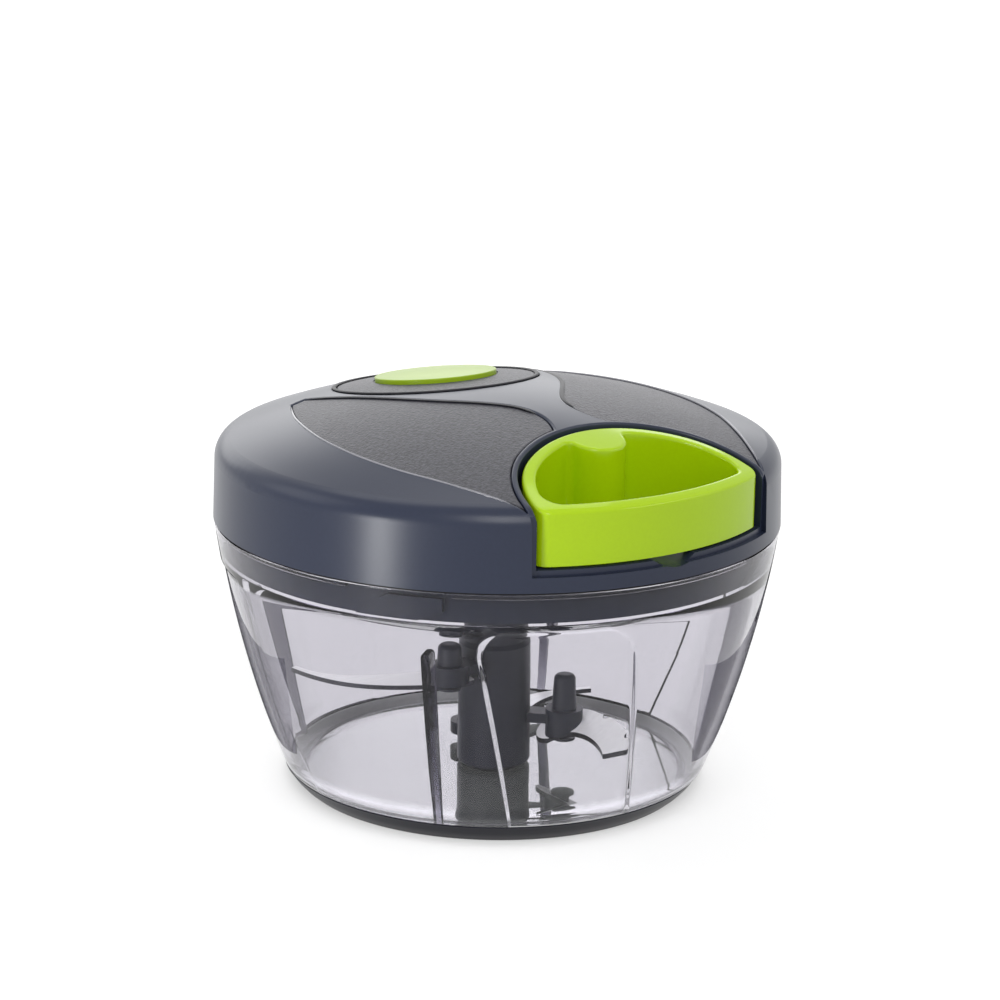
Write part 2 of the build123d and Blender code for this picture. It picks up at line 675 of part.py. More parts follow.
def make_pull_handle():
    """Loop that fills the recess, with the cord's boss at its rear."""
    top = LID_DOME_Z + OVERRUN
    rise = top - HANDLE_FOOT_Z
    outside = extrude(Pos(0, 0, HANDLE_FOOT_Z) * handle_plan(0, HANDLE_CORNER), rise)
    boss = Pos(0, -HANDLE_BOSS_CENTRE) * Circle(HANDLE_BOSS_RADIUS)
    opening = handle_plan(HANDLE_RIM, HANDLE_INNER_CORNER) - boss
    opening = opening.faces().sort_by(SortBy.AREA)[-1]
    meeting = opening.vertices().sort_by_distance((0, -HANDLE_REAR))[:2]
    opening = fillet(meeting, HANDLE_BOSS_BLEND)
    loop = outside & lid_body(HANDLE_DROP)
    loop -= extrude(Pos(0, 0, HANDLE_FOOT_Z - OVERRUN) * opening, rise + OVERRUN)
    rim = [edge for edge in loop.edges() if edge.bounding_box().min.Z > CORD_Z]
    loop = fillet(rim, HANDLE_EDGE_ROUND)
    loop -= rod(
        KNOT_CHAMBER_RADIUS, HANDLE_FOOT_Z - OVERRUN, CORD_Z + KNOT_CHAMBER_TOP, (0, -KNOT_PLACE)
    )
    hole = Plane.XZ * Pos(0, CORD_Z) * Circle(CORD_RADIUS + CORD_HOLE_CLEARANCE)
    loop -= extrude(hole, KNOT_PLACE)
    return loop


def make_cord_end():
    """Cord inside the handle's boss, with its knot in the chamber."""
    start = Plane.XZ * Pos(0, CORD_Z) * Circle(CORD_RADIUS)
    tail = extrude(start, KNOT_PLACE) - extrude(start, HANDLE_REAR)
    return tail + Pos(0, -KNOT_PLACE, CORD_Z) * Sphere(KNOT_RADIUS)


def spread(shares, side, grow):
    """Plan points from shares of the lid's radius, on one side and moved outwards by a gap."""
    points = [(across * LID_EDGE_RADIUS, -out * LID_EDGE_RADIUS) for out, across in shares]
    moved = []
    for index, (x, y) in enumerate(points):
        back_x, back_y = points[max(index - 1, 0)]
        next_x, next_y = points[min(index + 1, len(points) - 1)]
        run = math.hypot(next_x - back_x, next_y - back_y)
        across = x + grow * (next_y - back_y) / run
        moved.append((side * across, y - grow * (next_x - back_x) / run))
    return moved


def pad_plan(side, grow):
    """Outline of a grip pad on one side of the handle, grown by a gap."""
    outer = spread(PAD_OUTER_SHARES, side, grow)
    inner = spread(PAD_INNER_SHARES, side, grow)
    edges = Spline(*outer) + Line(outer[-1], inner[0]) + Spline(*inner) + Line(inner[-1], outer[0])
    plan = make_face(edges) - handle_sides(RECESS_GAP + PAD_SETBACK - grow)
    return plan.faces().sort_by(SortBy.AREA)[-1]


def dome_band(top_drop, low_drop):
    """Skin of the dome between two depths."""
    return lid_body(top_drop) - lid_body(low_drop)


def make_grip_pad(side):
    """Grained inlay that follows the dome."""
    plan = pad_plan(side, 0)
    pad = extrude(Pos(0, 0, LID_EDGE_Z) * plan, LID_DOME_Z) & dome_band(PAD_DROP, PAD_DEPTH)
    return fillet(lip_edges(pad, plan, PAD_DROP, LIP_REACH), PAD_ROUND)


def disc_plane():
    """Plane that touches the dome behind its middle, where disc and cap lie."""
    tilt = math.asin(DISC_CENTRE / LID_DOME_RADIUS)
    return Plane(
        origin=(0, DISC_CENTRE, dome_z(DISC_CENTRE)),
        x_dir=(1, 0, 0),
        z_dir=(0, math.sin(tilt), math.cos(tilt)),
    )


def disc_prism(radius, low):
    """Cylinder square to the dome at the disc, from a depth upwards."""
    return disc_plane() * extrude(Pos(0, 0, -low) * Circle(radius), low + OVERRUN)


def make_disc_panel():
    """Grained round inlay with the seat for the cap."""
    disc = disc_prism(DISC_RADIUS, OVERRUN) & dome_band(DISC_DROP, DISC_DEPTH)
    rim = lip_edges(disc, Pos(0, DISC_CENTRE) * Circle(DISC_RADIUS), DISC_DROP, LIP_ROUND)
    return fillet(rim, PAD_ROUND) - disc_prism(CAP_RADIUS + CAP_GAP, CAP_SEAT)


def make_top_cap():
    """Lens in the middle of the disc."""
    crown = ThreePointArc(
        (-CAP_RADIUS, CAP_EDGE), (0, CAP_EDGE + CAP_CROWN), (CAP_RADIUS, CAP_EDGE)
    )
    half = Polyline((CAP_RADIUS, CAP_EDGE), (CAP_RADIUS, -CAP_SEAT), (0, -CAP_SEAT), (0, CAP_EDGE + CAP_CROWN))
    arc = ThreePointArc((0, CAP_EDGE + CAP_CROWN), crown @ 0.75, (CAP_RADIUS, CAP_EDGE))
    cap = revolve(Plane.XZ * make_face(half + arc), Axis.Z)
    rim = cap.edges().sort_by(Axis.Z)[-2]
    return disc_plane() * fillet(rim, CAP_ROUND)


def screw_places():
    """Centres of the lid screws in plan."""
    return [
        place(SCREW_CIRCLE, SCREW_PHASE + index * 360 / SCREW_COUNT) for index in range(SCREW_COUNT)
    ]


def make_lid_cover():
    """Domed shell with the handle's recess, screw posts and the arbor that holds axle and spring."""
    outside = lid_body(0)
    inside = dome_body(
        LID_EDGE_RADIUS - LID_THICKNESS,
        LID_WALL_RADIUS - LID_THICKNESS,
        LID_INNER_ROUND,
        LID_DOME_THICKNESS,
        LID_EDGE_Z - OVERRUN,
    )
    cover = outside - inside
    tall = LID_DOME_Z - LID_EDGE_Z + OVERRUN
    tub = extrude(Pos(0, 0, RECESS_UNDERSIDE_Z) * handle_sides(RECESS_GAP + RECESS_WALL), tall)
    cover += tub & outside
    posts = [
        rod(SCREW_POST_RADIUS, BASE_FLOOR_Z + BASE_FLOOR + SCREW_POST_GAP, LID_DOME_Z, centre) & inside
        for centre in screw_places()
    ]
    cover += [post for post in posts]
    spring_floor = SPOOL_FOOT_Z + SPOOL_FLANGE
    cover += rod(ARBOR_RADIUS, spring_floor + ARBOR_GAP, LID_DOME_Z) & inside
    cover -= extrude(Pos(0, 0, RECESS_FLOOR_Z) * handle_sides(RECESS_GAP), tall)
    cover -= make_edge_rebate()
    cover -= make_scoop()
    for side in (-1, 1):
        pocket = extrude(Pos(0, 0, LID_EDGE_Z) * pad_plan(side, PAD_GAP), LID_DOME_Z)
        cover -= pocket & dome_band(0, PAD_DEPTH)
    cover -= disc_prism(DISC_RADIUS + DISC_GROOVE, OVERRUN) & dome_band(0, DISC_DEPTH)
    low = BASE_FLOOR_Z
    for centre in screw_places():
        cover -= rod(SCREW_SHANK_RADIUS + SCREW_CLEARANCE, low, low + SCREW_LENGTH + OVERRUN / 2, centre)
    cover -= rod(AXLE_RADIUS, LID_EDGE_Z, AXLE_TOP_Z)
    slot_high = spring_floor + SPRING_FLOOR_GAP + SPRING_HEIGHT + ARBOR_GAP
    slot = Pos(ARBOR_RADIUS, 0, (LID_EDGE_Z + slot_high) / 2) * Box(
        2 * (ARBOR_RADIUS - AXLE_RADIUS) - ARBOR_SLOT, ARBOR_SLOT, slot_high - LID_EDGE_Z
    )
    cover -= slot
    eyelet_hole = Plane.XZ * Pos(0, CORD_Z) * Circle(EYELET_RADIUS)
    cover -= extrude(eyelet_hole, HANDLE_REAR)
    lips = lip_edges(cover, handle_sides(RECESS_GAP), 0, LIP_REACH)
    lips += lip_edges(cover, pad_plan(-1, PAD_GAP), 0, LIP_REACH)
    lips += lip_edges(cover, pad_plan(1, PAD_GAP), 0, LIP_REACH)
    lips += lip_edges(cover, Pos(0, DISC_CENTRE) * Circle(DISC_RADIUS + DISC_GROOVE), 0, LIP_ROUND)
    return fillet(lips, LIP_ROUND)


def make_edge_rebate():
    """Shallow step that the recess's opening has in the lid's side."""
    wide = extrude(
        Pos(0, 0, RECESS_FLOOR_Z - RECESS_EDGE_CUT) * handle_sides(RECESS_GAP + RECESS_EDGE_CUT),
        LID_DOME_Z,
    )
    rim = tube(
        LID_EDGE_RADIUS + OVERRUN, LID_WALL_RADIUS - RECESS_EDGE_CUT / 2, LID_EDGE_Z, LID_DOME_Z + OVERRUN
    )
    front = Pos(0, -LID_EDGE_RADIUS, LID_DOME_Z) * Box(
        4 * HANDLE_SIDE_HALF, LID_EDGE_RADIUS - HANDLE_REAR, 2 * LID_DOME_Z
    )
    return wide & rim & front


def make_scoop():
    """Finger scoop in the sill, under the middle of the handle's front."""
    centre_z = RECESS_FLOOR_Z + SCOOP_RADIUS - SCOOP_DEPTH
    round_bar = extrude(Plane.XZ * Pos(0, centre_z) * Circle(SCOOP_RADIUS), LID_EDGE_RADIUS + OVERRUN)
    return round_bar - extrude(
        Plane.XZ * Pos(0, centre_z) * Circle(SCOOP_RADIUS), LID_WALL_RADIUS - SCOOP_LENGTH
    )


def make_lug():
    """Bayonet lug of the lid with its lead-in, drawn at -Y."""
    top = BOWL_RIM_Z - FLANGE_HEIGHT - LUG_TOP_GAP
    outline = make_face(
        Polyline(
            (LUG_LEFT, LUG_FOOT_Z),
            (LUG_RIGHT_FOOT, LUG_FOOT_Z),
            (LUG_RIGHT, LUG_FOOT_Z + LUG_LEAD_HEIGHT),
            (LUG_RIGHT, top),
            (LUG_LEFT_TOP / 2, top),
            (LUG_LEFT_TOP, top - LUG_SHOULDER_DROP),
            close=True,
        )
    )
    prism = extrude(Plane.XZ * outline, BOWL_RIM_RADIUS)
    return prism & tube(LUG_RADIUS, BASE_SKIRT_RADIUS - BASE_SKIRT_WALL / 2, LUG_FOOT_Z, top)


def make_lid_base():
    """Lower half of the lid: skirt, floor, hub boss, lugs and screw seats."""
    inner = BASE_SKIRT_RADIUS - BASE_SKIRT_WALL
    flange = LID_EDGE_RADIUS - LID_THICKNESS - BASE_FLANGE_GAP
    bore = HUB_NECK_RADIUS + HUB_CLEARANCE
    floor_top = BASE_FLOOR_Z + BASE_FLOOR
    base = turned(
        (
            (inner, BASE_SKIRT_Z),
            (BASE_SKIRT_RADIUS, BASE_SKIRT_Z),
            (BASE_SKIRT_RADIUS, LID_EDGE_Z),
            (flange, LID_EDGE_Z),
            (flange, BASE_TOP_Z),
            (inner, BASE_TOP_Z),
            (inner, floor_top),
            (BASE_BOSS_RADIUS, floor_top),
            (BASE_BOSS_RADIUS, BASE_BOSS_TOP_Z),
            (bore, BASE_BOSS_TOP_Z),
            (bore, BASE_BOSS_Z),
            (BASE_BOSS_RADIUS, BASE_BOSS_Z),
            (BASE_BOSS_RADIUS, BASE_FLOOR_Z),
            (inner, BASE_FLOOR_Z),
        )
    )
    base += around(make_lug(), BOWL_SECTORS, LUG_ANGLE)
    rib_length = inner - BASE_RIB_START + BASE_SKIRT_WALL / 2
    rib = Pos(0, -BASE_RIB_START - rib_length / 2, floor_top + BASE_RIB_HEIGHT / 2) * Box(
        BASE_RIB_THICKNESS, rib_length, BASE_RIB_HEIGHT
    )
    base += around(rib, BASE_RIB_COUNT, BASE_RIB_PHASE)
    seat_z = BASE_FLOOR_Z - SCREW_SEAT_HEIGHT
    for centre in screw_places():
        base += rod(SCREW_HEAD_RADIUS + BASE_FLOOR, seat_z, BASE_FLOOR_Z, centre)
        base -= rod(SCREW_HEAD_RADIUS + SCREW_CLEARANCE, seat_z - OVERRUN, BASE_FLOOR_Z, centre)
        base -= rod(SCREW_SHANK_RADIUS + SCREW_CLEARANCE, seat_z, floor_top + OVERRUN, centre)
    return base


def make_lid_seal():
    """Flat ring between the lid's edge and the bowl's rim."""
    return tube(SEAL_OUTER_RADIUS, SEAL_INNER_RADIUS, LID_EDGE_Z - SEAL_HEIGHT, LID_EDGE_Z)


def make_lid_screws():
    """Slotted screws, put in from below."""
    screws = []
    for centre in screw_places():
        head_low = BASE_FLOOR_Z - SCREW_HEAD_HEIGHT
        screw = rod(SCREW_HEAD_RADIUS, head_low, BASE_FLOOR_Z, centre)
        screw += rod(SCREW_SHANK_RADIUS, BASE_FLOOR_Z, BASE_FLOOR_Z + SCREW_LENGTH, centre)
        slot = Pos(*centre, head_low) * Box(2 * SCREW_HEAD_RADIUS, SCREW_SLOT_WIDTH, 2 * SCREW_SLOT_DEPTH)
        screws.append(screw - slot)
    return screws


def tooth_ring():
    """Room inside the hub's cup, bounded by saw teeth that catch a pawl turning with the cord."""
    tip = HUB_CUP_RADIUS - HUB_CUP_WALL - TOOTH_DEPTH
    root = HUB_CUP_RADIUS - HUB_CUP_WALL
    pitch = 360 / TOOTH_COUNT
    points = []
    for index in range(TOOTH_COUNT):
        points.append(place(root, index * pitch))
        points.append(place(tip, index * pitch))
    return make_face(Polyline(*points, close=True))


def make_drive_hub():
    """Ratchet cup above, socket with driving dogs below."""
    web_top = HUB_WEB_Z + HUB_WEB
    hub = turned(
        (
            (HUB_SOCKET_RADIUS, HUB_NECK_Z),
            (HUB_NECK_RADIUS, HUB_NECK_Z),
            (HUB_NECK_RADIUS, HUB_WEB_Z),
            (HUB_CUP_RADIUS, HUB_WEB_Z),
            (HUB_CUP_RADIUS, HUB_CUP_TOP_Z),
            (0, HUB_CUP_TOP_Z),
            (0, HUB_WEB_Z),
            (HUB_SOCKET_RADIUS, HUB_WEB_Z),
        )
    )
    teeth = spin(tooth_ring(), PAWL_REACH_ANGLE + PAWL_TOOTH_GAP)
    hub -= extrude(Pos(0, 0, web_top) * teeth, HUB_CUP_TOP_Z)
    dog = sector(
        HUB_NECK_RADIUS - HUB_CLEARANCE,
        HUB_DOG_RADIUS,
        HUB_DOG_Z,
        HUB_WEB_Z,
        ARM_FIRST_ANGLE + 180 / DOG_COUNT,
        HUB_DOG_WIDTH,
    )
    hub += around(dog, DOG_COUNT)
    return hub - rod(AXLE_RADIUS + AXLE_CLEARANCE, AXLE_FOOT_Z, AXLE_TOP_Z)


def make_pawl(index):
    """Pawl whose tip faces the way the spool turns when the cord is pulled."""
    pivot = place(PAWL_PIVOT_RADIUS, 0)
    tip_outer = place(PAWL_TIP_RADIUS, PAWL_REACH_ANGLE)
    tip_inner = place(PAWL_TIP_RADIUS - PAWL_TIP_WIDTH, PAWL_REACH_ANGLE)
    plan = make_face(
        Polyline(
            (pivot[0], pivot[1] + PAWL_EYE_RADIUS),
            (pivot[0], pivot[1] - PAWL_EYE_RADIUS),
            tip_outer,
            tip_inner,
            close=True,
        )
    )
    plan += Pos(*pivot) * Circle(PAWL_EYE_RADIUS)
    plan -= Pos(*pivot) * Circle(PAWL_PIN_RADIUS + PAWL_PIN_CLEARANCE)
    pawl = extrude(Pos(0, 0, PAWL_FOOT_Z) * plan, PAWL_TOP_Z - PAWL_FOOT_Z)
    return spin(pawl, index * 360 / PAWL_COUNT)


def make_pawl_pins():
    """Headed pins that hang the pawls under the spool."""
    centre = place(PAWL_PIVOT_RADIUS, 0)
    head_top = PAWL_FOOT_Z - PAWL_PIN_GAP
    pin = rod(PAWL_PIN_RADIUS, head_top, SPOOL_FOOT_Z + PAWL_PIN_SEAT, centre)
    pin += rod(PAWL_PIN_HEAD_RADIUS, head_top - PAWL_PIN_HEAD_HEIGHT, head_top, centre)
    return around(pin, PAWL_COUNT)


def make_spool():
    """Drum for the cord, with the spring's pocket inside and the pawls' seats below."""
    pocket = SPOOL_DRUM_RADIUS - SPOOL_DRUM_WALL
    floor = SPOOL_FOOT_Z + SPOOL_FLANGE
    spool = turned(
        (
            (AXLE_RADIUS + AXLE_CLEARANCE, SPOOL_FOOT_Z),
            (SPOOL_FLANGE_RADIUS, SPOOL_FOOT_Z),
            (SPOOL_FLANGE_RADIUS, floor),
            (SPOOL_DRUM_RADIUS, floor),
            (SPOOL_DRUM_RADIUS, SPOOL_TOP_Z - SPOOL_FLANGE),
            (SPOOL_FLANGE_RADIUS, SPOOL_TOP_Z - SPOOL_FLANGE),
            (SPOOL_FLANGE_RADIUS, SPOOL_TOP_Z),
            (pocket, SPOOL_TOP_Z),
            (pocket, floor),
            (AXLE_RADIUS + AXLE_CLEARANCE, floor),
        )
    )
    centre = place(PAWL_PIVOT_RADIUS, 0)
    seat = rod(PAWL_PIN_RADIUS, SPOOL_FOOT_Z - OVERRUN, SPOOL_FOOT_Z + PAWL_PIN_SEAT, centre)
    return spool - around(seat, PAWL_COUNT)


def make_spring_cap():
    """Disc that closes the spring's pocket."""
    outer = SPOOL_DRUM_RADIUS - SPOOL_DRUM_WALL - SPRING_CAP_GAP
    return tube(outer, ARBOR_RADIUS + ARBOR_GAP, SPOOL_TOP_Z - SPRING_CAP_THICKNESS, SPOOL_TOP_Z)


def make_return_spring():
    """Flat spiral in half turns, hooked into the arbor's slot at its inner end."""
    path = None
    radius = SPRING_START_RADIUS
    sign = 1
    start_x = radius
    step = SPRING_PITCH / 2
    for _ in range(2 * SPRING_TURNS):
        radius += step / 2
        end_x = start_x - sign * 2 * radius
        middle = ((start_x + end_x) / 2, sign * radius)
        arc = ThreePointArc((start_x, 0), middle, (end_x, 0))
        path = arc if path is None else path + arc
        start_x = end_x
        sign = -sign
        radius += step / 2
    hook = Line((ARBOR_RADIUS - ARBOR_SLOT, 0), (SPRING_START_RADIUS, 0))
    low = SPOOL_FOOT_Z + SPOOL_FLANGE + SPRING_FLOOR_GAP
    strip = trace(path, SPRING_STRIP) + trace(hook, SPRING_STRIP)
    return extrude(Pos(0, 0, low) * strip, SPRING_HEIGHT)


def make_centre_axle():
    """Steel axle, pressed into the cover, with the groove for its clip."""
    axle = rod(AXLE_RADIUS, AXLE_FOOT_Z, AXLE_TOP_Z)
    groove_top = HUB_WEB_Z - CLIP_GAP
    return axle - tube(
        AXLE_RADIUS + OVERRUN, AXLE_RADIUS * 3 / 4, groove_top - CLIP_THICKNESS, groove_top
    )


def make_axle_clip():
    """Open clip in the axle's groove, under the hub's web."""
    top = HUB_WEB_Z - CLIP_GAP
    clip = tube(CLIP_RADIUS, AXLE_RADIUS * 3 / 4, top - CLIP_THICKNESS, top)
    mouth = Pos(CLIP_RADIUS, 0, top) * Box(2 * CLIP_RADIUS, CLIP_MOUTH, 2 * CLIP_RADIUS)
    return clip - mouth


def make_wound_cord():
    """Cord on the drum, as one ring with a hollow between its turns' crowns."""
    low = SPOOL_FOOT_Z + SPOOL_FLANGE + CORD_PACK_GAP
    high = SPOOL_TOP_Z - SPOOL_FLANGE - CORD_PACK_GAP
    return tube(CORD_WIND_RADIUS + CORD_RADIUS, SPOOL_DRUM_RADIUS, low, high)


def make_cord_lead():
    """Cord from the drum, round a bend and through the eyelet to the recess."""
    touch = math.degrees(math.acos(CORD_WIND_RADIUS / CORD_BEND_REACH))
    start = place(CORD_WIND_RADIUS + 2 * CORD_RADIUS + CORD_PACK_GAP, -touch)
    points = [
        (*start, CORD_Z),
        (0, -CORD_BEND_REACH, CORD_Z),
        (0, -HANDLE_REAR + RECESS_GAP, CORD_Z),
    ]
    path = FilletPolyline(*points, radius=CORD_BEND_RADIUS)
    return sweep(Plane(origin=path @ 0, z_dir=path % 0) * Circle(CORD_RADIUS), path)


def make_cord_eyelet():
    """Flanged bush that guides the cord through the recess's rear wall."""
    wall_out = HANDLE_REAR - RECESS_GAP
    wall_in = wall_out - RECESS_WALL
    body = Plane.XZ * Pos(0, CORD_Z) * Circle(EYELET_RADIUS)
    flange = Plane.XZ * Pos(0, CORD_Z) * Circle(EYELET_FLANGE_RADIUS)
    bore = Plane.XZ * Pos(0, CORD_Z) * Circle(CORD_RADIUS + CORD_HOLE_CLEARANCE)
    eyelet = extrude(body, wall_out) + extrude(flange, wall_in)
    eyelet -= extrude(flange, wall_in - EYELET_FLANGE)
    return eyelet - extrude(bore, HANDLE_REAR)


def make_parts():
    """Every node of the object, by name."""
    parts = {
        "bowl": make_bowl(),
        "base_ring": make_base_ring(),
        "pivot_pin": make_pivot_pin(),
        "blade_shaft": make_blade_shaft(),
        "lid_seal": make_lid_seal(),
        "lid_base": make_lid_base(),
        "lid_cover": make_lid_cover(),
        "grip_pad_left": make_grip_pad(-1),
        "grip_pad_right": make_grip_pad(1),
        "disc_panel": make_disc_panel(),
        "top_cap": make_top_cap(),
        "lid_screws": make_lid_screws(),
        "centre_axle": make_centre_axle(),
        "axle_clip": make_axle_clip(),
        "cord_eyelet": make_cord_eyelet(),
        "spool": make_spool(),
        "spring_cap": make_spring_cap(),
        "return_spring": make_return_spring(),
        "wound_cord": make_wound_cord(),
        "cord_lead": make_cord_lead(),
        "pawl_pins": make_pawl_pins(),
        "drive_hub": make_drive_hub(),
        "pull_handle": make_pull_handle(),
        "cord_end": make_cord_end(),
    }
    for index, name in enumerate(BLADE_NAMES):
        parts[name] = make_blade(index)
        parts[name.replace("blade", "peg")] = make_peg(index)
    for index in range(PAWL_COUNT):
        parts[f"pawl_{index + 1}"] = make_pawl(index)
    return parts


def main():
    """Write one STEP file for each node."""
    os.makedirs("parts", exist_ok=True)
    for name, shape in make_parts().items():
        solids = shape if isinstance(shape, list) else [shape]
        members = [solid for piece in solids for solid in piece.solids()]
        whole = members[0] if len(members) == 1 else Compound(children=members)
        export_step(whole, f"parts/{name}.step")
        box = whole.bounding_box()
        print(f"{name}: {len(members)} solids, {whole.volume:.0f} mm3, {box.min} to {box.max}")


main()
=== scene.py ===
"""Dressed model of the pull cord food chopper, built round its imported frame.

The frame's axes hold: the origin is the centre of the foot, +Z is up and the handle pulls towards -Y. Meshes
are in metres, and the classes of the object's own parts keep their sizes in millimetres.
"""

import logging
import math
from dataclasses import dataclass, field
from enum import Enum
from typing import Sequence

import bmesh
import bpy
from mathutils import Matrix, Vector


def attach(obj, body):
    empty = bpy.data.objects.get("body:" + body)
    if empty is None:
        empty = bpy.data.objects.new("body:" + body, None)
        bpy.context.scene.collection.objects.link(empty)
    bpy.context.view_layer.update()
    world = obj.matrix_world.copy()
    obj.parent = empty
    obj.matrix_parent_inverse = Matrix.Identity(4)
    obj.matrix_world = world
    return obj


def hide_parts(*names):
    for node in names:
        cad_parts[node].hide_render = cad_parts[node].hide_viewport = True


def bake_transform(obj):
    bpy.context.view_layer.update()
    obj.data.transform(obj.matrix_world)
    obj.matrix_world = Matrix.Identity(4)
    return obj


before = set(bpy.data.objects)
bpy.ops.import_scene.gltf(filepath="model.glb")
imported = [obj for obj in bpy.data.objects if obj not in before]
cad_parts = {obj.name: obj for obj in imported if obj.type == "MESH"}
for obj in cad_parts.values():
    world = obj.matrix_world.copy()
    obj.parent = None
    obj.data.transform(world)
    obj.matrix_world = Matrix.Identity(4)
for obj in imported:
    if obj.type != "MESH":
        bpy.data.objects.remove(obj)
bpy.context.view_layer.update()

LOG = logging.getLogger("chopper")
MM = 0.001
ON_AXIS = 1e-6
WHITE = (1.0, 1.0, 1.0, 1.0)
NUMBER_SOCKET = "NodeSocketFloat"
BLADES = ("blade_upper", "blade_middle", "blade_lower")
UP = Vector((0.0, 0.0, 1.0))
Pair = tuple[float, float]
Point = tuple[float, float, float]
Colour = tuple[float, float, float]
Shell = tuple[list[Point], list[list[int]]]
Node = bpy.types.Node
Socket = bpy.types.NodeSocket
Value = Socket | float | tuple[float, ...]
Inputs = dict[str | int, Value]


class Effect(Enum):
    """Shared surface effects, each one a shader node group."""

    GRAIN = "moulded_grain"
    MOTTLE = "soft_mottle"
    BRUSHED = "ground_steel"
    BRAID = "braided_yarn"


@dataclass
class Tree:
    """A node tree with short calls to place and join nodes."""

    tree: bpy.types.NodeTree

    def add(self, kind: str, values: Inputs | None = None, **settings: object) -> Node:
        """Place a node.

        Args:
            kind: Blender's name of the node type.
            values: Names or numbers of inputs, with their values or the sockets that feed them.
            settings: Attributes of the node itself.

        Returns:
            The new node.
        """
        node = self.tree.nodes.new(kind)
        for name, value in settings.items():
            setattr(node, name, value)
        self.give(node, values or {})
        return node

    def give(self, node: Node, values: Inputs) -> None:
        """Set or feed several inputs of a node."""
        for name, value in values.items():
            self.join(value, node.inputs[name])

    def join(self, source: Value, target: Socket) -> None:
        """Feed an input from a socket, or set it to a plain value.

        Args:
            source: The socket or the value.
            target: The input.
        """
        if isinstance(source, Socket):
            self.tree.links.new(source, target)
        else:
            target.default_value = source

    def maths(self, operation: str, first: Value, second: Value = 0.0) -> Socket:
        """Place a math node and give its output."""
        return self.add("ShaderNodeMath", {0: first, 1: second}, operation=operation).outputs[0]

    def spread(self, value: Value, low: Value, high: Value) -> Socket:
        """Carry a value from 0..1 to low..high."""
        values = {"Value": value, "To Min": low, "To Max": high}
        return self.add("ShaderNodeMapRange", values).outputs["Result"]

    def here(self) -> Socket:
        """Give the place on the object itself."""
        return self.add("ShaderNodeTexCoord").outputs["Object"]

    def noise(self, scale: Value, detail: float, roughness: float, where: Socket | None = None) -> Socket:
        """Place a noise texture.

        Args:
            scale: Its scale.
            detail: Its number of octaves.
            roughness: Weight of its finer octaves.
            where: Place to read it at, on the object itself where none is given.

        Returns:
            The noise, from 0 to 1.
        """
        values = {"Scale": scale, "Detail": detail, "Roughness": roughness}
        values["Vector"] = self.here() if where is None else where
        return self.add("ShaderNodeTexNoise", values).outputs["Fac"]


